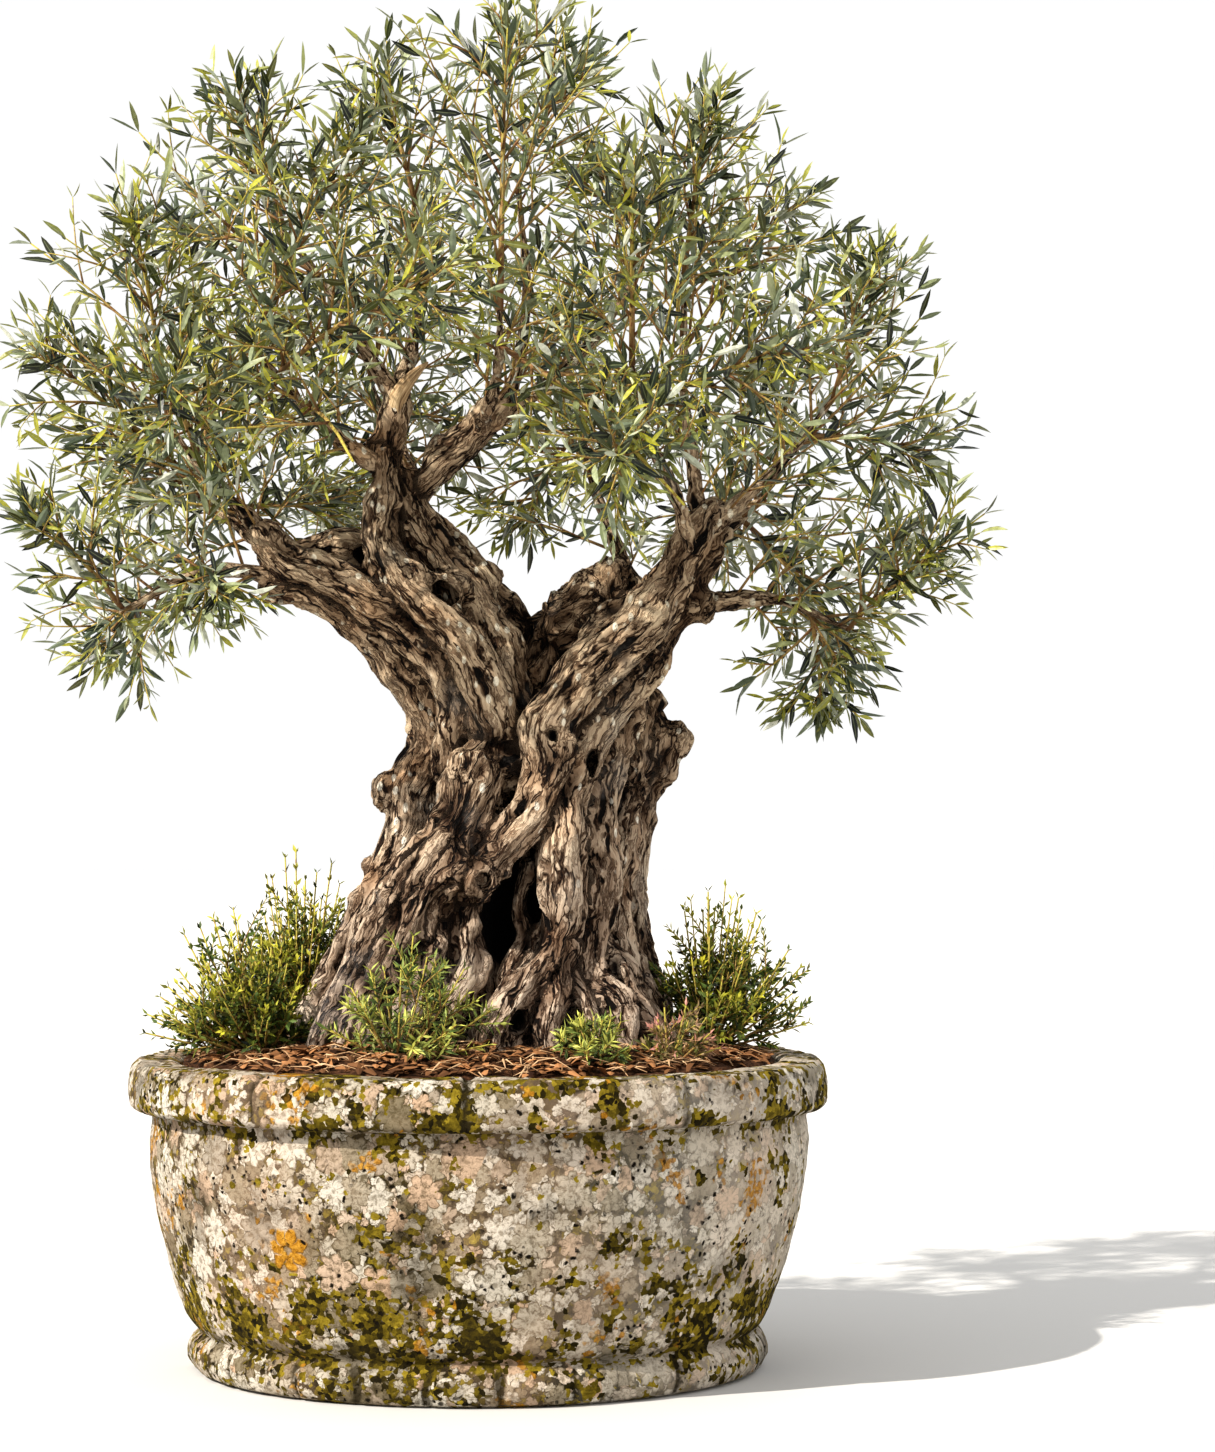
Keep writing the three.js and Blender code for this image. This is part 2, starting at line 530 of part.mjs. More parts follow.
// One leafy spray: a shoot with two side shoots, and leaves at true size, fewer than it really has
function makeSpray(line, { start, rows }, i, others) {
  const obstacles = [...others];
  const parts = [bar(rows, 3, { across: anyWay(i, 2) })];
  const addLeaf = (shoot, share, turn, k) => {
    const direction = branchOff(shoot.getTangent(share), turn, 0.75);
    const size = { ...LEAF, length: LEAF.length * (0.85 + 0.3 * draw(i, k)) };
    addBlade(parts, obstacles, shoot.getPoint(share), direction, vector(anyWay(i, k + 1)), size);
  };
  addLeaf(line, 0.92, 1.2 + i, 5);
  addLeaf(line, 0.84, 4.3 + i, 8);
  for (let side = 0; side < 2; side++) {
    const share = start + (1 - start) * (0.25 + 0.3 * side);
    const across = anyWay(i, 20 + side);
    // The side shoot turns round the main one until it is out of the way of everything else
    for (let turn = side * 2.9 + i, tries = 0; tries < 5; turn += 1.3, tries++) {
      const shoot = sideShoot(line, share, turn, CROWN.side * (1 - 0.2 * side));
      const leaf = endBlade(shoot, LEAF.length * (0.85 + 0.3 * draw(i, side)), LEAF.width, LEAF.thickness);
      const whole = [...taper(shoot, 0, 1, 1, 1.7, 1.2), ...leaf];
      if (!isClear(bar(whole, 3, { swell: GAP, across }), others)) continue;
      parts.push(bar(whole, 3, { across }));
      addLeaf(shoot, 0.8, i + side, 23 + side * 10);
      addLeaf(shoot, 0.55, 3 + i + side, 26 + side * 10);
      break;
    }
  }
  return largest(union(parts));
}

// A herb: a foot in the soil, a small dense heart, and stems with needles standing out of it
function makeHerb({ at, lean, height, spread, stems, seed }, others) {
  const obstacles = [...others];
  const foot = vector([at[0], at[1], soilHeight(at[0], at[1])]);
  const middle = foot.clone().add(vector([lean[0] * 0.5, lean[1] * 0.5, height * 0.3]));
  const parts = [bar(footRows(at), 5)];
  parts.push(bar([{ at: foot, radius: 3 }, { at: middle, radius: 3 }], 4));
  parts.push(blob(middle.toArray(), [spread * 0.24, spread * 0.24, height * 0.22], 0, 0));
  for (let k = 0; k < stems; k++) {
    const turn = k * GOLDEN_ANGLE + seed;
    const share = Math.sqrt((k + 0.5) / stems);
    const rise = height * (1 - 0.6 * share * share) * (0.85 + 0.2 * draw(seed, k));
    const reach = [lean[0] + spread * share * Math.cos(turn), lean[1] + spread * share * Math.sin(turn), rise];
    const line = new THREE.LineCurve3(middle, foot.clone().add(vector(reach)));
    const rows = [...taper(line, 0, 1, 1, 2, 1), ...endBlade(line, NEEDLE.length, NEEDLE.width, NEEDLE.thickness)];
    if (!isClear(bar(rows, 3, { swell: GAP }), others)) continue;
    parts.push(bar(rows, 3));
    for (let n = 0; n < 3; n++) {
      const place = 0.45 + 0.2 * n;
      const direction = branchOff(line.getTangent(place), n * 2.4 + k, 0.8);
      const size = { ...NEEDLE, length: NEEDLE.length * (0.85 + 0.4 * draw(k, n + seed)) };
      addBlade(parts, obstacles, line.getPoint(place), direction, vector(anyWay(k, n)), size);
    }
  }
  return largest(union(parts));
}

// The stub of a herb under the soil
function footRows(at) {
  const ground = soilHeight(at[0], at[1]);
  return [
    { at: new THREE.Vector3(at[0], at[1], ground - 14), radius: 4.5 },
    { at: new THREE.Vector3(at[0], at[1], ground + 5), radius: 4.5 },
  ];
}

const stone = new THREE.MeshStandardMaterial({ color: 0xb9ae98, roughness: 0.95, metalness: 0 });
const earth = new THREE.MeshStandardMaterial({ color: 0x5f4330, roughness: 1, metalness: 0 });
const bark = new THREE.MeshStandardMaterial({ color: 0x7d6650, roughness: 0.92, metalness: 0 });
const foliage = new THREE.MeshStandardMaterial({ color: 0x66713f, roughness: 0.6, metalness: 0 });
const herbage = new THREE.MeshStandardMaterial({ color: 0x6c7a2c, roughness: 0.7, metalness: 0 });

const bonsai = new THREE.Group();
const bowl = makeBowl();
const wood = makeWood();
const holes = Object.values(HERBS).map(({ at }) => bar(footRows(at), 5, { swell: GAP }));
const soil = largest(union([makeSoil(), ...makeFlakes()]).subtract(union([...strandSolids(GAP), ...holes])));
bonsai.add(mesh("stone_bowl", bowl, stone));
bonsai.add(mesh("soil", soil, earth));
bonsai.add(mesh("trunk_and_boughs", wood, bark));

const obstacles = [bowl, soil, wood].map(asObstacle);
for (const [name, herb] of Object.entries(HERBS)) {
  const made = makeHerb(herb, obstacles);
  obstacles.push(asObstacle(made));
  bonsai.add(mesh(name, made, herbage));
}
const lines = sprayLines();
const shoots = lines.map((line, i) => mainShoot(line, i, obstacles[2]));
const mains = shoots.map(({ rows }, i) => asObstacle(bar(rows, 3, { swell: GAP, across: anyWay(i, 2) })));
lines.forEach((line, i) => {
  const others = [...obstacles, ...mains.filter((main, k) => k !== i)];
  const made = makeSpray(line, shoots[i], i, others);
  obstacles.push(asObstacle(made));
  bonsai.add(mesh("spray_" + String(i + 1).padStart(2, "0"), made, foliage));
});

export default bonsai;
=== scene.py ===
# %% [markdown]
# An olive bonsai in a lichen-grown stone bowl.
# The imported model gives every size. Here each part gets its fine surface: the carved stone, the mulch,
# the fluted trunk, thousands of leaves and the herbs round the foot. Lengths are metres.

# %% The frame
"""An old olive tree, grown small in a stone bowl, dressed for its portrait."""
import functools
import math

import bmesh
import bpy
import numpy as np
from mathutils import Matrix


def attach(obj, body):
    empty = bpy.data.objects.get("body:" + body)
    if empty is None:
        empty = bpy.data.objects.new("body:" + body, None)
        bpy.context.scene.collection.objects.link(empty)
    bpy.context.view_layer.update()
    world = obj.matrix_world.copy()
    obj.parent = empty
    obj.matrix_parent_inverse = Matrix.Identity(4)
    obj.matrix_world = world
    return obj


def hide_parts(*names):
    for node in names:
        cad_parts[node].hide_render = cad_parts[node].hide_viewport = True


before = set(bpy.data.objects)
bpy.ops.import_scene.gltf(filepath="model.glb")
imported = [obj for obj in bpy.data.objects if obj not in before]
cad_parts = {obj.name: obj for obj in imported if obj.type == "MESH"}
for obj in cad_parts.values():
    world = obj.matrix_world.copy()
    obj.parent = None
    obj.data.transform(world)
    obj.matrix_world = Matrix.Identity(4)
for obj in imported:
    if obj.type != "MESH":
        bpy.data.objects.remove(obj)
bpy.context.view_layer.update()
MM = 0.001
GOLDEN_ANGLE = math.pi * (3 - math.sqrt(5))

# %% [markdown]
# The photograph was taken from a little above the bowl's rim, a few metres away, so the camera has a long
# lens. The floor and the sky are pale, a sun stands at the upper left in front, and the sky fills the shade.

# %% Camera and light
PHOTO_HEIGHT = 1452
CAMERA_AT = (0, -2.66, 0.40)
LOOK_UP = 1.65
LOOK_RIGHT = 2.06
FOCAL_PIXELS = 3540
SENSOR_MM = 36
SUN_TURN = (52, 0, -55)
SUN_STRENGTH, SUN_WIDTH, SUN_COLOUR = 4.6, 0.8, (1.0, 0.95, 0.87)
SKY_STRENGTH = 0.84


def add_camera():
    """A camera with the photograph's view: its lens is the sensor's height times the focal length in pixels,
    over the picture's height in pixels."""
    data = bpy.data.cameras.new("camera")
    data.sensor_fit = "VERTICAL"
    data.sensor_height = SENSOR_MM
    data.lens = SENSOR_MM * FOCAL_PIXELS / PHOTO_HEIGHT
    camera = bpy.data.objects.new("camera", data)
    camera.location = CAMERA_AT
    camera.rotation_euler = (math.radians(90 + LOOK_UP), 0, math.radians(-LOOK_RIGHT))
    bpy.context.scene.collection.objects.link(camera)
    bpy.context.scene.camera = camera
    print("lens", round(data.lens, 1), "mm")


def add_sun():
    """Sunlight with slightly soft shadow edges."""
    data = bpy.data.lights.new("sun", type="SUN")
    data.energy = SUN_STRENGTH
    data.angle = math.radians(SUN_WIDTH)
    data.color = SUN_COLOUR
    sun = bpy.data.objects.new("sun", data)
    sun.rotation_euler = [math.radians(a) for a in SUN_TURN]
    bpy.context.scene.collection.objects.link(sun)


def add_sky():
    """An even white sky that lights the shaded sides."""
    world = bpy.data.worlds.new("sky")
    world.use_nodes = True
    background = world.node_tree.nodes["Background"]
    background.inputs["Color"].default_value = (1, 1, 1, 1)
    background.inputs["Strength"].default_value = SKY_STRENGTH
    bpy.context.scene.world = world


add_camera()
add_sun()
add_sky()
bpy.context.scene.view_settings.view_transform = "Standard"
bpy.context.scene.view_settings.look = "Medium High Contrast"

# %% [markdown]
# Materials are small graphs of nodes. One function turns a colour written as hex into the linear values
# that Blender works in, and one adds a node with its settings and links. Every pattern reads Object
# coordinates, which are metres here, or an attribute stored on the surface.

# %% Helpers for materials


def linear(code):
    """An sRGB hex colour as linear red, green and blue, with an alpha of 1."""
    parts = [int(code[i:i + 2], 16) / 255 for i in (1, 3, 5)]
    return [c / 12.92 if c <= 0.04045 else ((c + 0.055) / 1.055) ** 2.4 for c in parts] + [1.0]


def node(tree, kind, *values, out=None, stops=(), **named):
    """Adds a node and gives the output named, or else its first. After a space, kind names the node's
    operation or data type. Values, sockets and hex colours fill the inputs in order, or by a name with a
    capital letter. Names without one are the node's own settings. Stops are a ramp's places and colours or
    greys."""
    kind, _, mode = kind.partition(" ")
    made = tree.nodes.new("ShaderNode" + kind)
    if mode:
        setattr(made, "data_type" if kind == "Mix" else "operation", mode)
    fills = list(zip([socket for socket in made.inputs if socket.enabled], values))
    for name, value in named.items():
        if name[0].isupper():
            fills.append((made.inputs[name], value))
        else:
            setattr(made, name, value)
    for socket, value in fills:
        if isinstance(value, bpy.types.NodeSocket):
            tree.links.new(value, socket)
        else:
            socket.default_value = linear(value) if isinstance(value, str) else value
    elements = made.color_ramp.elements if stops else []
    while len(elements) < len(stops):
        elements.new(0.5)
    for element, (place, colour) in zip(elements, stops):
        element.position = place
        element.color = linear(colour) if isinstance(colour, str) else (colour, colour, colour, 1)
    return made.outputs[out] if out else next(socket for socket in made.outputs if socket.enabled)


def new_material(name, roughness, specular=0.3):
    """A material, and the function that adds a node to it."""
    material = bpy.data.materials.new(name)
    material.use_nodes = True
    shader = material.node_tree.nodes["Principled BSDF"]
    shader.inputs["Roughness"].default_value = roughness
    shader.inputs["Specular IOR Level"].default_value = specular
    return material, functools.partial(node, material.node_tree)


def coat(material, colour, height=None, depth=0.0, strength=1.0):
    """Gives a material its colour, and the bump of a height map of that depth in metres."""
    tree = material.node_tree
    shader = tree.nodes["Principled BSDF"]
    tree.links.new(colour, shader.inputs["Base Color"])
    if height is not None:
        bump = node(tree, "Bump", Strength=strength, Distance=depth, Height=height)
        tree.links.new(bump, shader.inputs["Normal"])
    return material


# %% [markdown]
# The shapes are worked out with numpy. Natural surfaces need noise that can be added to a shape, so this
# cell makes it: each corner of a grid of cubes gets a repeatable random number, and points between corners
# blend them smoothly. Adding copies of half the size and half the strength gives rough stone or bark.

# %% Helpers for noise


def corner_values(x, y, z, seed):
    """A repeatable random number from -1 to 1 for whole-number corners, by mixing their bits."""
    mixed_bits = (x * 73856093) ^ (y * 19349663) ^ (z * 83492791) ^ (seed * 26544357)
    mixed_bits = ((mixed_bits ^ (mixed_bits >> 13)) * 1274126177) & 0x7FFFFFFF
    mixed_bits = mixed_bits ^ (mixed_bits >> 15)
    return (mixed_bits & 0xFFFF) / 32767.5 - 1


def noise(points, size, seed=0):
    """Smooth noise from -1 to 1 with lumps of the given size, or sizes along x, y and z."""
    q = points / np.asarray(size)
    cell = np.floor(q).astype(np.int64)
    t = q - cell
    t = t * t * (3 - 2 * t)
    total = np.zeros(len(points))
    for corner in np.ndindex(2, 2, 2):
        weight = np.prod(np.where(corner, t, 1 - t), axis=1)
        total += weight * corner_values(*(cell + corner).T, seed)
    return total


def rough(points, size, octaves, seed=0):
    """Noise of several sizes, each half as large and half as strong as the one before."""
    size = np.asarray(size, float)
    return sum(noise(points, size / 2**k, seed + k) / 2**k for k in range(octaves))


def ridges(points, size, seed=0):
    """Noise folded at zero, which makes crests from -1 in the furrows to 1 on the crest."""
    return 1 - 2 * np.sqrt(noise(points, size, seed) ** 2 + 0.003) / 0.55


def lift(low, high, value):
    """0 below low, 1 above high, and a smooth rise between."""
    t = np.clip((value - low) / (high - low), 0, 1)
    return t * t * (3 - 2 * t)


def circle(count):
    """Evenly spaced angles round a full turn."""
    return np.linspace(0, 2 * math.pi, count, endpoint=False)


# %% [markdown]
# Every new piece goes into Blender through the same small functions: vertices and faces as whole arrays,
# an attribute where the material needs one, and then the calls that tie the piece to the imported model.

# %% Helpers for meshes


def make_piece(name, vertices, quads, triangles=(), materials=(), faces_of=None, smooth=True, **attributes):
    """A mesh object from arrays. Attributes are per vertex: one number each, or three for a vector.
    faces_of gives the number of the material of each face."""
    quads = np.asarray(quads, np.int32).reshape(-1, 4)
    triangles = np.asarray(triangles, np.int32).reshape(-1, 3)
    mesh = bpy.data.meshes.new(name)
    mesh.vertices.add(len(vertices))
    mesh.vertices.foreach_set("co", np.asarray(vertices, np.float32).ravel())
    corners = np.concatenate([quads.ravel(), triangles.ravel()])
    mesh.loops.add(len(corners))
    mesh.loops.foreach_set("vertex_index", corners)
    mesh.polygons.add(len(quads) + len(triangles))
    starts = np.concatenate([np.arange(len(quads)) * 4, quads.size + np.arange(len(triangles)) * 3])
    mesh.polygons.foreach_set("loop_start", starts.astype(np.int32))
    mesh.update(calc_edges=True)
    mesh.polygons.foreach_set("use_smooth", np.array(np.broadcast_to(smooth, len(mesh.polygons))))
    if faces_of is not None:
        mesh.polygons.foreach_set("material_index", np.asarray(faces_of, np.int32))
    for key, values in attributes.items():
        values = np.asarray(values, np.float32)
        kind, field = ("FLOAT", "value") if values.ndim == 1 else ("FLOAT_VECTOR", "vector")
        mesh.attributes.new(key, kind, "POINT").data.foreach_set(field, values.ravel())
    for material in materials:
        mesh.materials.append(material)
    piece = bpy.data.objects.new(name, mesh)
    bpy.context.scene.collection.objects.link(piece)
    return piece


def seat(piece, slot, *nodes):
    """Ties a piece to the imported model: it rides on the one body and stands for the nodes named."""
    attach(piece, "root")
    if nodes:
        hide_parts(*nodes)
    triangles = sum(len(face.vertices) - 2 for face in piece.data.polygons)
    print(piece.name, triangles, "triangles")


def grid_quads(rows, columns, closed):
    """Corner numbers of the quads of a grid of rows by columns, which may close on itself sideways."""
    across = columns if closed else columns - 1
    row, column = np.meshgrid(np.arange(rows - 1), np.arange(across), indexing="ij")
    after = (column + 1) % columns
    first, second = row * columns, (row + 1) * columns
    return np.stack([first + column, first + after, second + after, second + column], axis=-1).reshape(-1, 4)


def unit(vectors):
    """The same directions with length 1."""
    return vectors / np.maximum(np.linalg.norm(vectors, axis=-1, keepdims=True), 1e-9)


# %% [markdown]
# The bowl is carved from one block of limestone. Its shape is turned: a profile of radius and height goes
# round the axis. A turned shape is too clean for old stone, so noise moves the surface in and out by a
# millimetre or two, and narrow grooves cut the rim and the foot ring where the stone has cracked.

# %% The bowl's shape
RIM_Z, RIM_R, RIM_H = 0.229, 0.260, 0.036
MOUTH_R, BELLY_R, FOOT_R, FOOT_H, FLOOR_Z = 0.222, 0.245, 0.216, 0.029, 0.034
UNDER_RIM = RIM_Z - RIM_H
RIM_CRACKS = [-2.22, -1.61, -0.98, 0.35, 1.1, 2.0, 2.9]
FOOT_CRACKS = [-2.55, -2.22, -1.98, -1.74, -1.5, -1.26, -0.86, -0.2, 0.5, 1.2, 1.9, 2.6]
BOWL_COLUMNS, FINE_STEP, COARSE_STEP = 460, 0.0029, 0.012


def bowl_profile():
    """Radius and height from the underside's centre, up the outside, over the rim and down to the floor."""
    corners = [
        (0.0, 0.0), (FOOT_R - 0.012, 0.0), (FOOT_R - 0.004, 0.003), (FOOT_R, 0.010), (FOOT_R, 0.018),
        (FOOT_R - 0.003, 0.024), (FOOT_R - 0.009, FOOT_H + 0.001), (FOOT_R - 0.004, FOOT_H + 0.006),
        (FOOT_R + 0.001, FOOT_H + 0.014), (0.228, 0.076), (0.239, 0.118), (0.2445, 0.150), (BELLY_R, 0.170),
        (BELLY_R - 0.002, UNDER_RIM - 0.007), (BELLY_R - 0.001, UNDER_RIM - 0.001),
        (RIM_R - 0.004, UNDER_RIM), (RIM_R, UNDER_RIM + 0.004), (RIM_R + 0.0005, RIM_Z - 0.018),
        (RIM_R - 0.0015, RIM_Z - 0.005),
        (RIM_R - 0.006, RIM_Z - 0.0005), (MOUTH_R + 0.008, RIM_Z), (MOUTH_R + 0.001, RIM_Z - 0.003),
        (MOUTH_R - 0.002, RIM_Z - 0.012), (0.214, 0.170), (0.198, 0.086), (0.172, 0.048), (0.140, FLOOR_Z),
        (0.0, FLOOR_Z),
    ]
    points = np.array(corners)
    lengths = np.concatenate([[0], np.cumsum(np.linalg.norm(np.diff(points, axis=0), axis=1))])
    # Coarse steps serve where soil or floor hides the stone: before the foot's edge and below the mouth
    foot_edge, mouth = lengths[1] * 0.97, lengths[22]
    spots = np.concatenate([np.arange(0, foot_edge, COARSE_STEP), np.arange(foot_edge, mouth, FINE_STEP),
                            np.arange(mouth, lengths[-1], COARSE_STEP), [lengths[-1]]])
    return np.interp(spots, lengths, points[:, 0]), np.interp(spots, lengths, points[:, 1])


def crack_nearness(angle, cracks, width, radius):
    """How near each angle is to a crack: 1 in the crack and 0 a width away from it."""
    away = np.abs((angle[:, None] - np.array(cracks) + math.pi) % (2 * math.pi) - math.pi).min(axis=1)
    return np.clip(1 - away * radius / width, 0, 1)


def make_bowl(material):
    """The turned profile, moved in and out by noise, chips, pits and cracks, all in millimetres here."""
    radius, height = bowl_profile()
    angle = np.linspace(-math.pi, math.pi, BOWL_COLUMNS, endpoint=False)
    r = np.repeat(radius, BOWL_COLUMNS)
    z = np.repeat(height, BOWL_COLUMNS)
    a = np.tile(angle, len(radius))
    points = np.stack([r * np.cos(a), r * np.sin(a), z], axis=1)
    outside = lift(0.198, 0.207, r) * lift(0.0, 0.004, z)
    lumps = 1.5 * rough(points, 0.045, 3, 1) + 0.5 * rough(points, 0.008, 2, 5)
    chips = -1.6 * lift(0.45, 0.9, noise(points, 0.016, 9)) * lift(0.005, 0.0, np.abs(r - RIM_R + 0.004))
    pits = -1.3 * lift(0.62, 0.9, noise(points, 0.006, 12))
    wander = a + 0.014 * noise(points, 0.012, 20)
    on_rim = lift(UNDER_RIM - 0.002, UNDER_RIM + 0.004, z)
    on_foot = lift(FOOT_H, FOOT_H - 0.006, z)
    cracks = -3.4 * crack_nearness(wander, RIM_CRACKS, 0.0048, RIM_R) * on_rim
    cracks -= 3.0 * crack_nearness(wander, FOOT_CRACKS, 0.0045, FOOT_R) * on_foot
    shift = (lumps + chips + pits + cracks) * MM * outside
    top = lift(RIM_Z - 0.006, RIM_Z, z) * outside
    points[:, 0] += shift * np.cos(a) * (1 - top)
    points[:, 1] += shift * np.sin(a) * (1 - top)
    points[:, 2] += shift * top
    quads = grid_quads(len(radius), BOWL_COLUMNS, True)
    piece = make_piece("stone_bowl_surface", points, quads, materials=[material], relief=shift / MM)
    seat(piece, "stone", "stone_bowl")


# %% [markdown]
# Old limestone in the open is never one colour. Pale lichen grows in scalloped rosettes from one to three
# centimetres wide. A Voronoi texture scatters their middles, and a node sum of distance and bearing from the
# middle draws each as a flower. Painting them by hand would look as good, but would fit this bowl only.

# %% Lichen rosettes
# Cells a metre, reach as a share of a cell, share of the cells that bear one, lobes, and a shift of the cells
ROSETTES = [(105, 0.50, 0.78, 5, 3.0), (58, 0.50, 0.74, 6, 2.0), (34, 0.50, 0.62, 8, 1.0)]
FLOWER_AT = (-0.1330, -0.1975, 0.1080)
FLOWER_SIZE = 0.0165


def surface_axes(add, place):
    """Two unit directions in the surface at each point: level round the bowl, and square to it upwards."""
    level = add("VectorMath NORMALIZE", add("VectorMath CROSS_PRODUCT", (0, 0, 1), place))
    return level, add("VectorMath CROSS_PRODUCT", add("TexCoord", out="Normal"), level)


def growth_about(add, where, middle, axes, size, petals, start):
    """One growth round a middle. A point's distance and bearing from the middle are taken in the surface. The
    growth reaches 0.74 + 0.32 |sin(petals * bearing / 2 + start)| of its size, so its edge is scalloped.
    Gives the mask, the creases between and round its lobes, which are darkened as painted shade, and the
    distance as a share of the size."""
    offset = add("VectorMath SUBTRACT", where, middle)
    level, up = (add("VectorMath DOT_PRODUCT", offset, axis) for axis in axes)
    away = add("Math DIVIDE", add("VectorMath LENGTH", add("CombineXYZ", level, up)), size)
    bearing = add("Math MULTIPLY_ADD", add("Math ARCTAN2", up, level), petals / 2, start)
    wave = add("Math ABSOLUTE", add("Math SINE", bearing))
    within = add("Math SUBTRACT", add("Math MULTIPLY_ADD", wave, 0.32, 0.74), away)
    crease_shade = add("Math MULTIPLY", add("ValToRGB", wave, stops=[(0.0, 1.0), (0.35, 0.0)]),
                 add("ValToRGB", away, stops=[(0.3, 0.0), (0.6, 1.0)]))
    crease_shade = add("Math MAXIMUM", crease_shade, add("ValToRGB", within, stops=[(0.03, 1.0), (0.15, 0.0)]))
    return add("Math GREATER_THAN", within, 0.0), crease_shade, away


def rosettes(add, where, axes, scale, reach, chance, petals, seed):
    """Scattered growths: one in each Voronoi cell that is chosen, round the cell's own middle."""
    moved = add("Mapping", where, Location=(seed, seed * 0.7, seed * 1.3))
    cells = add("TexVoronoi", moved, Scale=scale, Randomness=0.8).node.outputs
    own, share, luck = add("SeparateColor", cells["Color"]).node.outputs
    size = add("Math MULTIPLY_ADD", share, 0.35 * reach / scale, 0.80 * reach / scale)
    start = add("Math MULTIPLY", own, 6.3)
    mask, crease_shade, away = growth_about(add, moved, cells["Position"], axes, size, petals, start)
    return add("Math MULTIPLY", mask, add("Math LESS_THAN", luck, chance)), own, crease_shade, away


print("rosettes", [round(1000 * 2 * reach / scale) for scale, reach, *_ in ROSETTES], "mm wide at most")

# %% [markdown]
# Under the rosettes lies brown-grey stone, and moss fills the places that stay damp: under the rim, low on
# the wall and round the foot. The moss is noise weighed by height, in grains of 4 mm. Golden lichen, dark
# pits, darkening where the surface is sunk, and painted shade in the corners under the rim and above the
# foot ring come last, over all that was there before.

# %% Rosettes and golden lichen


def crusted(add, colour, bent, axes, room, fine):
    """Grey, white and pinkish rosettes on a colour, where room leaves them space: the new colour, and how far
    each point stands up. Their middles are dark, and their creases and edges carry painted shade."""
    crust = 0.0
    for kind in ROSETTES:
        mask, own, crease_shade, away = rosettes(add, bent, axes, *kind)
        mask = add("Math MULTIPLY", mask, room)
        shade = add("ValToRGB", own, stops=[
            (0.0, "#7a6e57"), (0.14, "#9c907b"), (0.3, "#c3b9a8"), (0.72, "#dcd4c6"), (0.86, "#c5a78c"),
            (1.0, "#9b968a")])
        # Painted shade along each rosette's edge and between its lobes, with the dark middle and grain it has
        dark = add("Math MAXIMUM", crease_shade, add("ValToRGB", away, stops=[(0.08, 0.7), (0.18, 0.0)]))
        dark = add("Math MAXIMUM", add("Math MULTIPLY", dark, 0.85),
                   add("ValToRGB", fine, stops=[(0.38, 0.8), (0.52, 0.0)]))
        colour = add("Mix RGBA", mask, colour, add("Mix RGBA", dark, shade, "#54482f"))
        edge = add("Math MULTIPLY", mask, add("Math MULTIPLY_ADD", crease_shade, -0.5, 1.0))
        crust = add("Math MAXIMUM", crust, edge)
    return colour, crust


def gilded(add, colour, bent, axes, grains, fine):
    """Golden lichen on a colour, as grains in a few areas and one flower-shaped growth on the front: the new
    colour, and where the lichen is."""
    areas = add("TexNoise", grains["Position"], Scale=19, Detail=6, Roughness=0.75)
    gold = add("Math MULTIPLY", add("ValToRGB", areas, stops=[(0.60, 0.0), (0.615, 0.9)]),
               add("ValToRGB", grains["Distance"], stops=[(0.5, 1.0), (0.7, 0.3)]))
    flower, crease_shade, away = growth_about(add, bent, FLOWER_AT, axes, FLOWER_SIZE, 7, 0.4)
    flower = add("Math MULTIPLY", flower, add("ValToRGB", away, stops=[(0.16, 0.0), (0.22, 1.0)]))
    flower = add("Math MULTIPLY", flower, add("Math MULTIPLY_ADD", crease_shade, -0.8, 1.0))
    gold = add("Math MAXIMUM", gold, flower)
    shade = add("ValToRGB", fine, stops=[(0.32, "#6d4a12"), (0.48, "#a97722"), (0.68, "#d6a548")])
    return add("Mix RGBA", gold, colour, shade), gold


# %% Limestone with moss, pits and grime


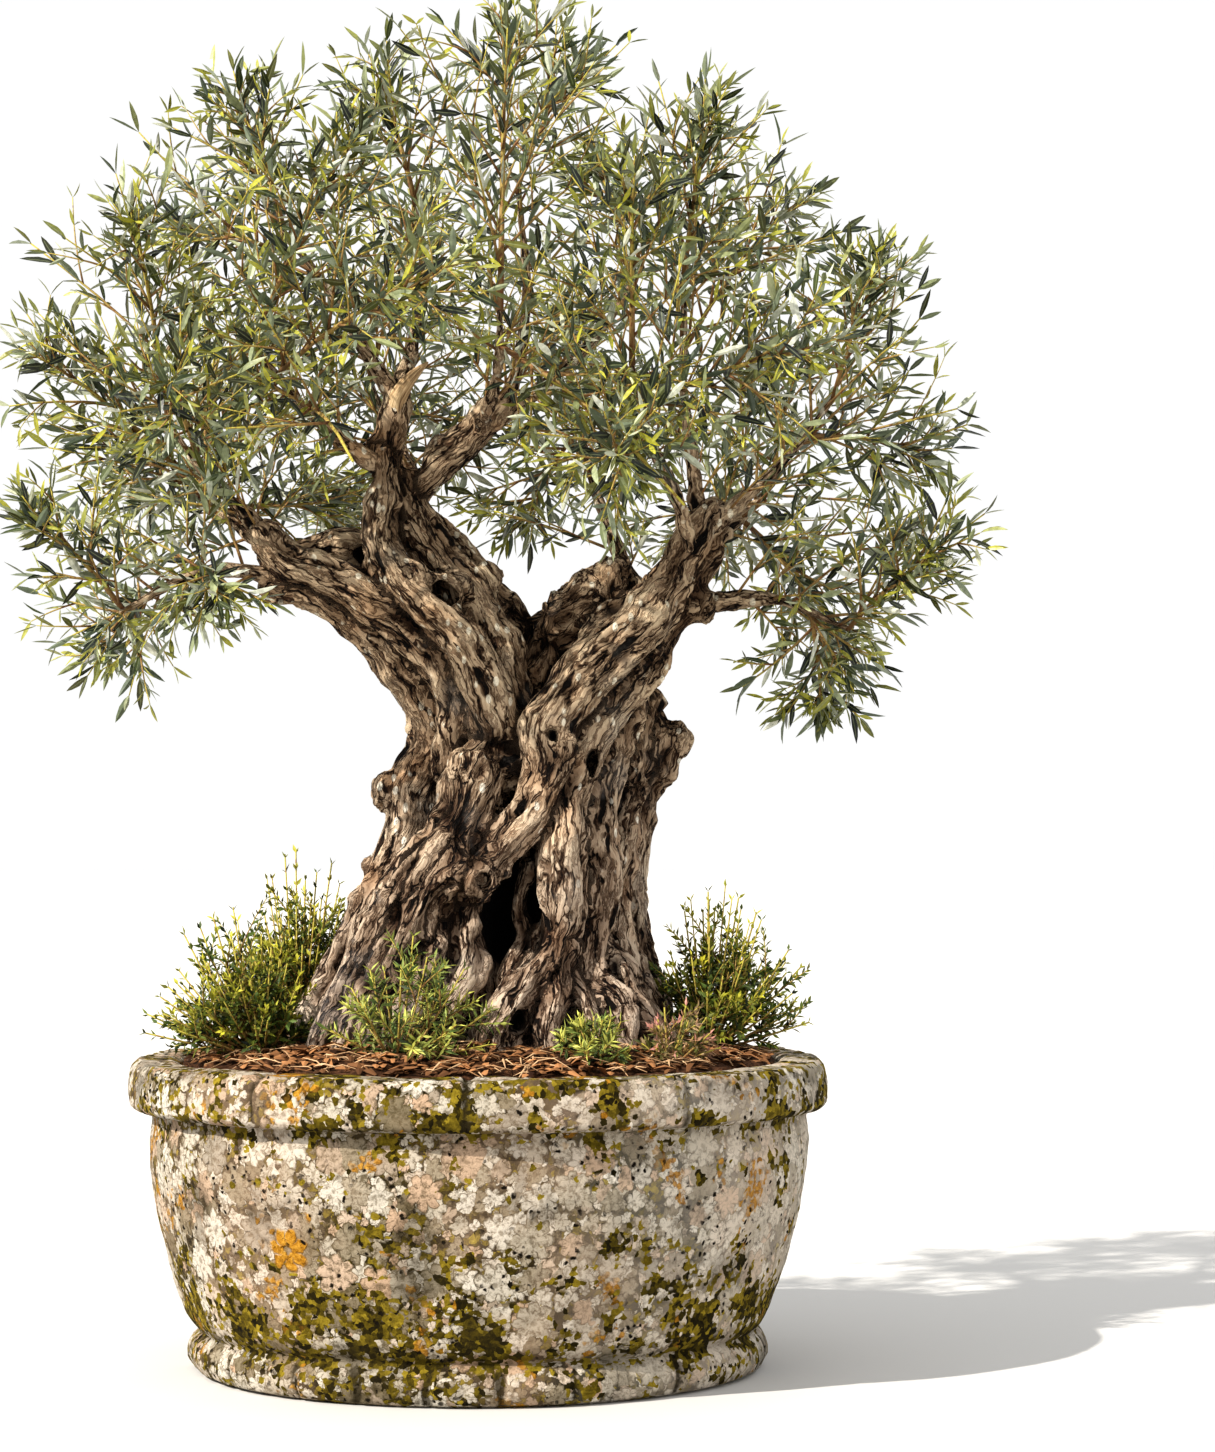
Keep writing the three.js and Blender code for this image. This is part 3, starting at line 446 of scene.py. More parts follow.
def limestone():
    """Weathered limestone: dull, 0.93 rough, under a skin of grey, white and pinkish lichen rosettes."""
    material, add = new_material("weathered_limestone", 0.93, 0.12)
    place = add("TexCoord", out="Object")
    axes = surface_axes(add, place)
    across, _, height = add("SeparateXYZ", place).node.outputs
    wander = add("TexNoise", place, Scale=170, Detail=3, out="Color")
    wander = add("VectorMath SUBTRACT", wander, (0.5, 0.5, 0.5))
    bent = add("VectorMath MULTIPLY_ADD", wander, (0.007, 0.007, 0.007), place)
    broad = add("TexNoise", place, Scale=9, Detail=3, Roughness=0.6)
    fine = add("TexNoise", place, Scale=230, Detail=6, Roughness=0.75)
    # Bare stone between the growths: brown-grey, darker where it is rough
    colour = add("ValToRGB", fine, stops=[(0.36, "#1e180d"), (0.5, "#4e4330"), (0.66, "#8a7c62")])
    # Moss is thickest left of the middle, thinner right of it, and thick again at the right edge
    sideways = add("Math MULTIPLY_ADD", across, 2.0, 0.5)
    upwards = add("Math DIVIDE", height, 0.25)
    side = add("ValToRGB", sideways, stops=[(0.0, 0.45), (0.3, 0.85), (0.5, 0.8), (0.7, 0.5), (0.9, 0.85)])
    damp = add("ValToRGB", upwards, stops=[
        (0.0, 0.43), (0.1, 0.46), (0.15, 0.52), (0.22, 0.50), (0.4, 0.43), (0.55, 0.38), (0.68, 0.42),
        (0.78, 0.49), (0.84, 0.45), (1, 0.50)])
    grains = add("TexVoronoi", bent, Scale=240).node.outputs
    patches = add("TexNoise", grains["Position"], Scale=30, Detail=6, Roughness=0.75)
    growth = add("Math MULTIPLY_ADD", side, 0.05, add("Math ADD", patches, damp))
    growth = add("Math SUBTRACT", growth, 0.032)
    hue = add("SeparateColor", grains["Color"])
    moss_colour = add("ValToRGB", add("Math MULTIPLY_ADD", hue, 0.45, add("Math MULTIPLY", fine, 0.55)),
                      stops=[(0.22, "#141004"), (0.42, "#342c0a"), (0.58, "#635514"), (0.78, "#a08c2e")])
    colour = add("Mix RGBA", add("ValToRGB", growth, stops=[(0.87, 0.0), (0.90, 1.0)]), colour, moss_colour)
    # Rosettes in three sizes cover nearly all of it but the thickest moss
    heavy = add("Math MULTIPLY_ADD", add("Math SUBTRACT", hue, 0.5), 0.06, growth)
    room = add("ValToRGB", heavy, stops=[(0.995, 1.0), (1.005, 0.0)])
    colour, crust = crusted(add, colour, bent, axes, room, fine)
    # The middle of the wall is a little pink, and the right side is painted lighter, as painted light on the
    # flank turned from the sun
    colour = add("Mix RGBA", add("ValToRGB", broad, stops=[(0.45, 0.0), (0.65, 0.25)]), colour, "#cfb097")
    colour = add("Mix RGBA", add("ValToRGB", sideways, stops=[(0.58, 0.0), (0.86, 0.27)]), colour, "#f1e9dc")
    moss = add("ValToRGB", heavy, stops=[(0.997, 0.0), (1.006, 1.0)])
    colour = add("Mix RGBA", moss, colour, moss_colour)
    colour, gold = gilded(add, colour, bent, axes, grains, fine)
    # Dark pits 1.5 to 3 mm wide, thick in some areas
    pit = add("ValToRGB", add("TexVoronoi", bent, Scale=150), stops=[(0.18, 1.0), (0.28, 0.0)])
    areas = add("ValToRGB", add("TexNoise", place, Scale=40, Detail=2), stops=[(0.50, 0.0), (0.60, 1.0)])
    pit = add("Math MULTIPLY", pit, areas)
    colour = add("Mix RGBA", pit, colour, "#1a140b")
    # Darker where the carving and the weather have sunk the surface, and painted shade in the corners under
    # the rim and above the foot ring
    relief = add("Math MULTIPLY_ADD", add("Attribute", attribute_name="relief", out="Fac"), 0.2, 0.5)
    sunken_dark = add("ValToRGB", relief, stops=[(0.05, 1.0), (0.4, 0.0)])
    colour = add("Mix RGBA", add("Math MULTIPLY", sunken_dark, 0.85), colour, "#2f2817")
    # Painted shade: dark bands in the corner under the rim and in the one above the foot ring
    corners = add("ValToRGB", upwards, stops=[
        (0.105, 0.0), (0.122, 0.75), (0.138, 0.6), (0.17, 0.0), (0.73, 0.0), (0.762, 0.6), (0.774, 0.6),
        (0.786, 0.0)])
    colour = add("Mix RGBA", add("Math MULTIPLY", corners, fine), colour, "#241e10")
    relief = add("Math MULTIPLY_ADD", fine, 0.9, add("Math MULTIPLY", crust, 0.6))
    relief = add("Math ADD", relief, add("Math MULTIPLY", add("Math MAXIMUM", moss, gold), 0.6))
    return coat(material, colour, add("Math SUBTRACT", relief, pit), 0.0028)


make_bowl(limestone())

# %% [markdown]
# The soil is domed up to the trunk. Its surface is a height worked out from the distance to the axis, so
# that the mulch and the herbs can ask for it at any place.

# %% The soil
SOIL_CROWN, SOIL_EDGE = 0.240, 0.226
SOIL_RINGS, SOIL_COLUMNS = 80, 240
# Radius and height of the soil below its edge, a hair inside the bowl
SOIL_WALL = np.array([(0.2215, 0.205), (0.2135, 0.170), (0.1975, 0.086), (0.1715, 0.048), (0.140, 0.0345),
                      (0.0005, 0.0345)])


def soil_height(x, y):
    """The height of the soil: a dome that falls off with the fourth power of the distance."""
    share = np.hypot(x, y) / MOUTH_R
    lumps = np.sin(x * 90 + 1) * np.cos(y * 110) + np.sin(x * 50 - y * 70)
    return SOIL_CROWN - (SOIL_CROWN - SOIL_EDGE) * share**4 + 0.0016 * lumps * (1 - share**6)


def make_soil(material):
    """A disc of rings whose height is the soil's, with crumbs added, closed below by a plain bowl shape."""
    inner = np.linspace(0.0005, MOUTH_R - 0.0015, SOIL_RINGS)
    radius = np.concatenate([inner, SOIL_WALL[:, 0]])
    r, a = np.repeat(radius, SOIL_COLUMNS), np.tile(circle(SOIL_COLUMNS), len(radius))
    x, y = r * np.cos(a), r * np.sin(a)
    crumbs = 2.6 * rough(np.stack([x, y, np.zeros_like(x)], axis=1), 0.016, 3, 31) * MM
    height = soil_height(x, y) + crumbs
    height[SOIL_RINGS * SOIL_COLUMNS:] = np.repeat(SOIL_WALL[:, 1], SOIL_COLUMNS)
    quads = grid_quads(len(radius), SOIL_COLUMNS, True)
    piece = make_piece("soil_surface", np.stack([x, y, height], axis=1), quads, materials=[material])
    seat(piece, "soil", "soil")


def earth():
    """Damp reddish soil with bark dust: dark, fully rough, mottled over 4 to 30 mm."""
    material, add = new_material("bark_soil", 0.95, 0.15)
    place = add("TexCoord", out="Object")
    grains = add("TexNoise", place, Scale=220, Detail=6, Roughness=0.7)
    patches = add("TexNoise", place, Scale=35, Detail=3)
    dark = add("ValToRGB", grains, stops=[(0.35, "#170d07"), (0.52, "#4a3120"), (0.7, "#876044")])
    colour = add("Mix RGBA", add("ValToRGB", patches, stops=[(0.45, 0.0), (0.7, 0.6)]), dark, "#6e4e3a")
    return coat(material, colour, grains, 0.003)


make_soil(earth())

# %% [markdown]
# The soil is covered with reddish bark and straw. Each flake is a small bent blade, laid on it at random.
# One mesh holds all the bark and one all the straw, because two thousand objects would be slow to draw.

# %% The mulch


def make_flakes(name, count, length, width, thickness, seed, material):
    """Flakes on the soil: each is a bar of three stations with a diamond section, bent and turned."""
    rng = np.random.default_rng(seed)
    radius = (MOUTH_R - 0.006) * np.sqrt(rng.uniform(0.2, 1, count))
    around = rng.uniform(0, 2 * math.pi, count)
    x, y = radius * np.cos(around), radius * np.sin(around)
    heading = rng.uniform(0, 2 * math.pi, count)
    tilt = rng.normal(0, 0.2, count)
    long = length * rng.uniform(0.45, 1.3, count)
    along = np.stack([np.cos(heading) * np.cos(tilt), np.sin(heading) * np.cos(tilt), np.sin(tilt)], axis=1)
    across = np.stack([-np.sin(heading), np.cos(heading), rng.normal(0, 0.25, count)], axis=1)
    up = np.cross(along, across)
    centre = np.stack([x, y, soil_height(x, y) + rng.uniform(0.0005, 0.004, count)], axis=1)
    station = np.array([-0.5, 0.0, 0.5])
    breadth = np.array([0.35, 1.0, 0.3])
    middle = centre[:, None] + along[:, None] * station[None, :, None] * long[:, None, None]
    middle += up[:, None] * (0.12 * (1 - 4 * station**2))[None, :, None] * long[:, None, None]
    corners = np.array([(1, 0), (0, 1), (-1, 0), (0, -1)]) * 0.5
    size = np.array([width, thickness])
    offsets = (corners * size)[None, None]
    section = across[:, None, None] * offsets[..., :1] + up[:, None, None] * offsets[..., 1:]
    points = middle[:, :, None] + section * breadth[None, :, None, None]
    base = np.arange(count)[:, None, None] * 12
    ring = np.array([(i, (i + 1) % 4, 4 + (i + 1) % 4, 4 + i) for i in range(4)])
    faces = np.concatenate([ring, ring + 4, [(3, 2, 1, 0)], [(8, 9, 10, 11)]])
    quads = (faces[None] + base).reshape(-1, 4)
    tint = np.repeat(rng.uniform(0, 1, count), 12)
    piece = make_piece(name, points.reshape(-1, 3), quads, materials=[material], smooth=False, tint=tint)
    seat(piece, "soil")


def mulch(name, dark, light):
    """Dry bark or straw: dull, with one shade a flake."""
    material, add = new_material(name, 0.85, 0.2)
    tint = add("Attribute", attribute_name="tint", out="Fac")
    return coat(material, add("ValToRGB", tint, stops=[(0.0, dark), (1.0, light)]))


# Count, then length, width and thickness, and the start of the random draws
make_flakes("bark_flakes", 1500, 0.016, 0.0056, 0.0016, 41, mulch("bark_mulch", "#2f1b10", "#b58257"))
make_flakes("straws", 700, 0.026, 0.0015, 0.0011, 42, mulch("dry_straw", "#8a6646", "#e6c39a"))

# %% [markdown]
# An old olive trunk is a bundle of strands that run from the limbs down to the roots, twist round each
# other, and leave holes. Here each strand is a row of stations, which becomes a tube along a smooth line.
# One swept trunk would be simpler, but it could not part and join again as the strands do.

# %% The trunk's strands
# Stations of each strand from its top to its foot: x, y, z and radius in mm
STRANDS = {
    "low_limb_under": [
        (-158, -25, 583, 10), (-126, -25, 576, 15), (-97, -22, 561, 17), (-74, -18, 541, 17),
        (-56, -15, 515, 17), (-41, -10, 489, 15), (-36, 0, 463, 17), (-49, 0, 430, 20), (-54, -5, 399, 16),
        (-64, -5, 373, 17), (-79, 0, 347, 18), (-96, 5, 309, 19), (-113, 10, 271, 19), (-126, 13, 244, 16),
        (-132, 14, 226, 12),
    ],
    "low_limb_top": [
        (-163, -30, 618, 12), (-145, -30, 596, 17), (-111, -30, 582, 18), (-82, -32, 567, 18),
        (-55, -35, 548, 17), (-33, -36, 522, 16), (-21, -36, 492, 14), (-21, -30, 466, 13),
        (-26, -20, 440, 12),
    ],
    "low_limb_back": [
        (-150, 5, 608, 9), (-121, 12, 609, 15), (-98, 15, 609, 17), (-79, 14, 596, 17), (-60, 14, 575, 17),
        (-38, 18, 537, 20), (-22, 24, 498, 21), (-23, 35, 453, 22), (-38, 45, 384, 25), (-61, 55, 314, 27),
        (-85, 66, 262, 24), (-97, 73, 226, 17),
    ],
    "middle_stem_front": [
        (-71, -16, 676, 15), (-72, -20, 645, 15), (-73, -24, 611, 16), (-59, -35, 584, 18),
        (-41, -44, 562, 19), (-18, -46, 540, 18), (-1, -46, 510, 19), (9, -42, 481, 20), (15, -30, 455, 17),
        (19, -24, 422, 14),
    ],
    "middle_stem_right": [
        (-52, 0, 664, 13), (-49, -2, 632, 16), (-36, -6, 609, 17), (-19, -10, 587, 16), (0, -16, 562, 17),
        (15, -20, 528, 18), (26, -22, 498, 18), (28, -20, 464, 16), (24, -10, 430, 14),
    ],
    "middle_stem_back": [
        (-42, 15, 632, 13), (-19, 20, 602, 17), (4, 25, 575, 18), (23, 26, 556, 17), (34, 26, 525, 19),
        (34, 30, 491, 23), (15, 46, 422, 30), (-8, 56, 345, 32), (-38, 66, 270, 32), (-50, 74, 226, 22),
    ],
    "left_buttress": [
        (6, -36, 452, 18), (-1, -48, 440, 27), (-13, -60, 407, 25), (-33, -64, 374, 29), (-51, -60, 337, 31),
        (-67, -60, 304, 33), (-84, -62, 271, 31), (-96, -66, 246, 27), (-103, -70, 226, 19),
    ],
    "right_stem_front": [
        (176, -12, 640, 10), (160, -16, 615, 15), (143, -20, 585, 18), (125, -25, 555, 20),
        (96, -35, 529, 22), (70, -45, 503, 23), (50, -52, 473, 23), (47, -58, 440, 21), (36, -66, 411, 18),
        (18, -72, 389, 16), (1, -74, 366, 17), (-4, -70, 352, 15),
    ],
    "cavity_left_wall": [
        (-3, -66, 356, 14), (-9, -62, 330, 15), (-8, -60, 304, 16), (-22, -60, 275, 19), (-37, -66, 250, 18),
        (-42, -70, 226, 13),
    ],
    "buttress_left_cord": [
        (-20, -70, 416, 10), (-46, -76, 380, 12), (-68, -75, 342, 13), (-86, -76, 306, 13),
        (-103, -77, 272, 12), (-114, -80, 246, 10), (-120, -83, 227, 8),
    ],
    "buttress_front_cord": [
        (-6, -74, 412, 9), (-27, -82, 376, 12), (-47, -82, 340, 13), (-62, -83, 306, 13),
        (-77, -84, 274, 12), (-87, -86, 248, 11), (-93, -88, 227, 9),
    ],
    "front_foot": [
        (-34, -68, 330, 13), (-40, -70, 305, 16), (-48, -76, 276, 18), (-58, -84, 250, 15),
        (-62, -88, 227, 12),
    ],
    "right_stem_middle": [
        (183, 0, 622, 8), (164, -2, 593, 13), (149, -4, 563, 15), (131, -8, 534, 17), (108, -16, 504, 19),
        (85, -28, 474, 19), (68, -45, 436, 18), (60, -58, 400, 19), (60, -62, 363, 20), (57, -65, 327, 20),
        (47, -75, 298, 22), (29, -85, 273, 20), (17, -92, 251, 19), (12, -98, 228, 14),
    ],
    "second_foot": [
        (58, -70, 313, 18), (50, -84, 276, 18), (45, -92, 251, 17), (46, -99, 228, 12),
    ],
    "right_front": [
        (128, 8, 543, 14), (116, 3, 505, 17), (101, -6, 467, 17), (89, -20, 429, 17), (86, -35, 392, 18),
        (87, -42, 355, 18), (81, -48, 319, 17), (81, -55, 286, 18), (96, -62, 269, 20), (103, -68, 252, 15),
        (107, -73, 228, 11),
    ],
    "small_root": [
        (68, -66, 292, 10), (79, -78, 264, 10), (84, -86, 244, 9), (87, -90, 227, 8),
    ],
    "right_edge": [
        (129, 14, 498, 12), (121, 12, 453, 14), (111, 8, 415, 14), (102, -4, 377, 16), (99, -8, 347, 13),
        (99, -10, 314, 14), (114, -15, 284, 15), (131, -20, 258, 13), (145, -24, 228, 10),
    ],
    "right_toe": [
        (88, -40, 315, 13), (107, -45, 285, 13), (122, -52, 259, 12), (134, -58, 240, 10),
        (140, -61, 226, 8),
    ],
    "burr_stem": [
        (133, 20, 470, 19), (126, 24, 440, 17), (108, 35, 392, 21), (103, 45, 346, 23), (111, 50, 299, 25),
        (126, 55, 260, 22), (139, 60, 227, 16),
    ],
    "right_stem_back": [
        (166, 16, 612, 11), (136, 20, 557, 17), (107, 30, 513, 21), (84, 44, 467, 27), (69, 60, 407, 29),
        (61, 68, 345, 31), (69, 75, 283, 31), (76, 85, 228, 22),
    ],
    "fork_stump": [
        (38, 16, 522, 20), (48, 18, 540, 18), (68, 18, 559, 20), (88, 15, 577, 19), (94, 14, 590, 16),
    ],
    "heart": [(42, 12, 508, 26), (28, 13, 430, 44), (12, 16, 300, 60), (12, 12, 228, 66)],
    "inner_root": [
        (36, -46, 372, 8), (29, -50, 345, 8), (34, -50, 318, 9), (25, -56, 290, 10), (22, -60, 262, 10),
    ],
    "left_fork": [
        (-71, -14, 664, 15), (-67, -12, 690, 13), (-64, -10, 708, 11), (-63, -10, 720, 9),
    ],
    "right_fork": [
        (-51, 0, 650, 14), (-34, 0, 671, 14), (-15, -2, 686, 14), (2, -2, 703, 13), (13, -2, 716, 10),
    ],
}

# %% [markdown]
# Balls for knots and burrs swell the strands where boughs once were. Hollows are cut where wood has rotted
# away: the tall cavity at the foot, and the knot-holes above it.

# %% Knots, burrs and hollows
# Knots: x, y, z and radius in mm
KNOTS = [
    (-67, -2, 427, 14), (-81, 0, 371, 10), (-84, -12, 684, 13), (131, 18, 490, 14), (147, 18, 467, 15),
    (134, 18, 446, 16), (82, -6, 545, 14), (120, 8, 571, 14), (168, -5, 566, 14), (-14, -62, 446, 14),
    (2, -76, 362, 21), (-152, -24, 578, 14), (-110, 14, 616, 15), (104, -62, 268, 17),
]
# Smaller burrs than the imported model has: round the fork, on the limbs, at the nose and on the roots
BURRS = [
    (75, 0, 574, 19), (22, 10, 566, 14), (50, -2, 547, 14), (101, 6, 588, 15), (36, 12, 556, 12),
    (-26, -32, 574, 19), (58, 4, 528, 17), (68, 10, 516, 14), (52, -16, 566, 12), (92, -12, 566, 13),
    (8, -4, 590, 12), (112, -12, 566, 12), (-8, -66, 442, 17), (12, -86, 350, 15), (-9, -84, 368, 20),
    (-48, -46, 590, 10), (60, -66, 455, 14), (-96, -30, 588, 12), (-128, -34, 584, 11), (-118, 8, 604, 13),
    (-99, 6, 612, 13), (90, -34, 478, 12), (72, -62, 400, 10), (30, -84, 300, 12), (-34, -80, 318, 12),
    (-60, -90, 290, 11), (14, -100, 246, 13), (48, -100, 246, 12), (-72, -86, 254, 12), (124, -56, 252, 11),
    (118, -2, 430, 11), (104, -8, 372, 10), (-60, -84, 345, 11), (-20, -84, 392, 11), (145, -30, 580, 10),
    (108, -40, 535, 11), (-72, -28, 640, 10),
]
# Hollows in the wood: centre, half sizes and the turn about Y in degrees
HOLLOWS = [
    ((24, -62, 331), (22, 62, 38), 4), ((-27, -48, 574), (13, 26, 9), 38), ((54, -78, 467), (6, 20, 9), -25),
    ((8, -94, 386), (6, 14, 5), 0), ((2, -96, 362), (6, 12, 6), 20), ((-112, -2, 606), (9, 14, 8), 0),
    ((-90, -4, 606), (9, 16, 8), 0), ((-54, 6, 674), (8, 14, 8), 0), ((-46, -64, 563), (4, 14, 4), 0),
    ((19, -66, 424), (5, 22, 14), 20), ((82, -40, 447), (5, 22, 13), 15),
    ((-46, -70, 407), (5, 20, 12), -15), ((0, -100, 374), (4, 12, 4), 0), ((34, -92, 384), (3, 12, 6), 15),
    ((66, -82, 336), (3, 12, 5), 0), ((100, -62, 300), (5, 22, 16), 10), ((28, -96, 262), (4, 20, 13), 15),
    ((-24, -86, 340), (4, 14, 6), 0), ((68, -92, 262), (4, 20, 14), -10), ((-70, -86, 380), (3, 12, 5), 20),
    ((-18, -64, 600), (3, 10, 3), 0), ((98, -52, 520), (3, 12, 5), -40), ((122, -46, 560), (3, 10, 4), -30),
    ((40, -86, 430), (3, 12, 6), 10),
]
print("strands", len(STRANDS), "knots and burrs", len(KNOTS + BURRS), "hollows", len(HOLLOWS))

# %% [markdown]
# A strand's stations are about 30 mm apart, so a curve has to join them without kinks. A Catmull-Rom curve
# passes through every station, which a Bezier curve by hand would need many handles for. A round section
# that is carried along it, turning as little as it can, makes the tube.

# %% Helpers for tubes and balls


def smooth_at(stations, share):
    """Points, radii and directions at shares of a Catmull-Rom curve through stations of x, y, z and radius.
    Between two stations the curve is the cubic that leaves each along the line between its neighbours."""
    rows = np.array(stations, float) * MM
    ends = np.concatenate([[2 * rows[0] - rows[1]], rows, [2 * rows[-1] - rows[-2]]])
    place = np.asarray(share) * (len(rows) - 1)
    before = np.minimum(place.astype(int), len(rows) - 2)
    t = (place - before)[:, None]
    p0, p1, p2, p3 = (ends[before + k] for k in range(4))
    m1, m2 = (p2 - p0) / 2, (p3 - p1) / 2
    curve = (p1 * (2 * t**3 - 3 * t**2 + 1) + m1 * (t**3 - 2 * t**2 + t) + p2 * (3 * t**2 - 2 * t**3)
             + m2 * (t**3 - t**2))
    slope = (p1 - p2) * (6 * t**2 - 6 * t) + m1 * (3 * t**2 - 4 * t + 1) + m2 * (3 * t**2 - 2 * t)
    return curve[:, :3], (p1 * (1 - t) + p2 * t)[:, 3], unit(slope[:, :3])


def smooth_line(stations, steps):
    """Points and radii at equal shares of a smooth line."""
    return smooth_at(stations, np.linspace(0, 1, steps))[:2]


def frames_along(points):
    """A direction along the line at each point, and two across it that turn as little as they can. Each is
    the one before made square to the line, so this loops over the line's points."""
    along = unit(np.gradient(points, axis=0))
    across = np.empty_like(points)
    turned = np.array([0.0, -1.0, 0.0])
    for i, direction in enumerate(along):
        turned = turned - direction * turned.dot(direction)
        turned /= np.linalg.norm(turned)
        across[i] = turned
    return along, across, np.cross(along, across)


def tube(points, radii, sides):
    """A closed tube: rings round each point of a line, a round cap at each end, and its quads."""
    cap = np.array([1.0, 0.7, 0.0])
    rise = np.sqrt(1 - cap**2)
    along, across, beside = frames_along(points)
    first = points[0] - along[0] * (rise[::-1] * radii[0])[:, None]
    last = points[-1] + along[-1] * (rise * radii[-1])[:, None]
    centres = np.concatenate([first[:-1], points, last[1:]])
    ends = np.maximum(cap[1:], 1e-3)
    sizes = np.concatenate([radii[0] * ends[::-1], radii, radii[-1] * ends])
    across = np.concatenate([across[[0, 0]], across, across[[-1, -1]]])
    beside = np.concatenate([beside[[0, 0]], beside, beside[[-1, -1]]])
    turn = circle(sides)[None, :, None]
    ring = across[:, None] * np.cos(turn) + beside[:, None] * np.sin(turn)
    rings = centres[:, None] + ring * sizes[:, None, None]
    return rings.reshape(-1, 3), grid_quads(len(centres), sides, True)


def ellipsoid(centre, size, turn=0):
    """A closed ball of rings, stretched to three half sizes and turned about Y."""
    rings, sides = 13, 24
    height = np.linspace(-1, 1, rings)[:, None]
    radii = np.sqrt(np.maximum(1 - height**2, 1e-4))
    angle = circle(sides)[None]
    ball = np.stack([np.cos(angle) * radii, np.sin(angle) * radii, np.repeat(height, sides, axis=1)], axis=2)
    c, s = math.cos(math.radians(turn)), math.sin(math.radians(turn))
    ball = (ball.reshape(-1, 3) * size) @ np.array([(c, 0, -s), (0, 1, 0), (s, 0, c)])
    return ball + centre, grid_quads(rings, sides, True)


def joined(parts):
    """Several meshes as one set of vertices and quads."""
    starts = np.cumsum([0] + [len(points) for points, _ in parts[:-1]])
    return np.concatenate([p for p, _ in parts]), np.concatenate([q + s for (_, q), s in zip(parts, starts)])


# %% [markdown]
# The tubes and knots only touch and cross. A voxel remesh makes one closed skin round them all, a boolean
# cuts the hollows out, and a second remesh leaves even faces. The root inside the largest hollow goes in
# after the cut, or it would be cut away too.

# %% Fusing the wood
FIRST_VOXEL, VOXEL = 0.0032, 0.0030
TUBE_SIDES, STEPS_A_STATION = 24, 10


def finished_mesh(piece, steps):
    """The mesh that a chain of modifiers makes of a piece. The modifiers are removed."""
    for kind, settings in steps:
        modifier = piece.modifiers.new("step", kind)
        for key, value in settings.items():
            setattr(modifier, key, value)
    mesh = bpy.data.meshes.new_from_object(piece.evaluated_get(bpy.context.evaluated_depsgraph_get()))
    piece.modifiers.clear()
    return mesh


def read_rows(collection, field, width, kind=float):
    """One field of every vertex or face as the rows of an array."""
    values = np.empty(len(collection) * width, kind)
    collection.foreach_get(field, values)
    return values.reshape(-1, width)


def strand_tube(name):
    """One strand as a closed tube."""
    path = STRANDS[name]
    return tube(*smooth_line(path, STEPS_A_STATION * len(path)), TUBE_SIDES)


def fused_wood():
    """The strands and knots as one skin: a voxel remesh, the hollows cut out, the root inside the largest
    hollow put back, a second remesh and a smoothing."""
    parts = [strand_tube(name) for name in STRANDS]
    parts += [ellipsoid(np.array(k[:3]) * MM, (k[3] * 1.05 * MM,) * 3) for k in KNOTS + BURRS]
    balls = [ellipsoid(np.array(at) * MM, np.array(size) * MM, turn) for at, size, turn in HOLLOWS]
    wood = make_piece("wood", *joined(parts))
    hollow = make_piece("hollow", *joined(balls))
    root = make_piece("root", *strand_tube("inner_root"))
    both = bmesh.new()
    both.from_mesh(finished_mesh(wood, [
        ("REMESH", {"mode": "VOXEL", "voxel_size": FIRST_VOXEL}),
        ("BOOLEAN", {"operation": "DIFFERENCE", "object": hollow, "solver": "EXACT", "use_self": True})]))
    both.from_mesh(root.data)
    both.to_mesh(wood.data)
    both.free()
    mesh = finished_mesh(wood, [("REMESH", {"mode": "VOXEL", "voxel_size": VOXEL}),
                                ("SMOOTH", {"factor": 0.6, "iterations": 3})])
    for scrap in (wood, hollow, root):
        bpy.data.objects.remove(scrap)
    print("fused wood", len(mesh.vertices), "points")
    return (read_rows(mesh.vertices, "co", 3), read_rows(mesh.vertices, "normal", 3),
            read_rows(mesh.polygons, "vertices", 4, np.int32))


# %% [markdown]
# Bark furrows follow the strands. So every point of the skin finds the strand whose surface is nearest, and
# its place in that strand's own frame: two distances across it and one along. Noise that is stretched along
# the third gives ropes, cracks and flakes that flow down the trunk.

# %% The trunk's skin
# Points are taken in blocks, because the distance of every point to every guide fills the memory otherwise
BLOCK = 6000
SEAM_WIDTH, SEAM_DEPTH = 0.0055, 7.0
SOIL_COVER_Z = 0.216


def strand_guides():
    """Every strand sampled each 3 mm or so: centres, radii, three directions, distance along and number."""
    rows = []
    for number, path in enumerate(STRANDS.values()):
        points, radii = smooth_line(path, STEPS_A_STATION * len(path))
        along, across, beside = frames_along(points)
        # The added number keeps the noise of one strand unlike that of the next
        run = np.concatenate([[0], np.cumsum(np.linalg.norm(np.diff(points, axis=0), axis=1))]) + number * 3.1
        count = len(points)
        rows.append(np.column_stack([points, radii, along, across, beside, run, np.full(count, number)]))
    return np.concatenate(rows)


def grain_place(points, guides):
    """Each point in the frame of its nearest strand, how deep it lies in the valley to the next strand, and
    how far it is outside the nearest strand's round surface, which is negative in a carved hollow."""
    starts = np.flatnonzero(np.diff(guides[:, 14], prepend=-1))
    place = np.empty((len(points), 3))
    valley = np.empty(len(points))
    outside = np.empty(len(points))
    for begin in range(0, len(points), BLOCK):
        block = points[begin:begin + BLOCK]
        away = np.sqrt(np.maximum(
            (block**2).sum(1)[:, None] - 2 * block @ guides[:, :3].T + (guides[:, :3] ** 2).sum(1)[None], 0))
        depth = away - guides[:, 3]
        nearest = depth.argmin(axis=1)
        guide = guides[nearest]
        offset = block - guide[:, :3]
        place[begin:begin + BLOCK] = np.stack([
            (offset * guide[:, 7:10]).sum(1), (offset * guide[:, 10:13]).sum(1),
            guide[:, 13] + (offset * guide[:, 4:7]).sum(1)], axis=1)
        by_strand = np.sort(np.minimum.reduceat(depth, starts, axis=1), axis=1)
        valley[begin:begin + BLOCK] = by_strand[:, 1] - by_strand[:, 0]
        outside[begin:begin + BLOCK] = by_strand[:, 0]
    return place, valley, outside


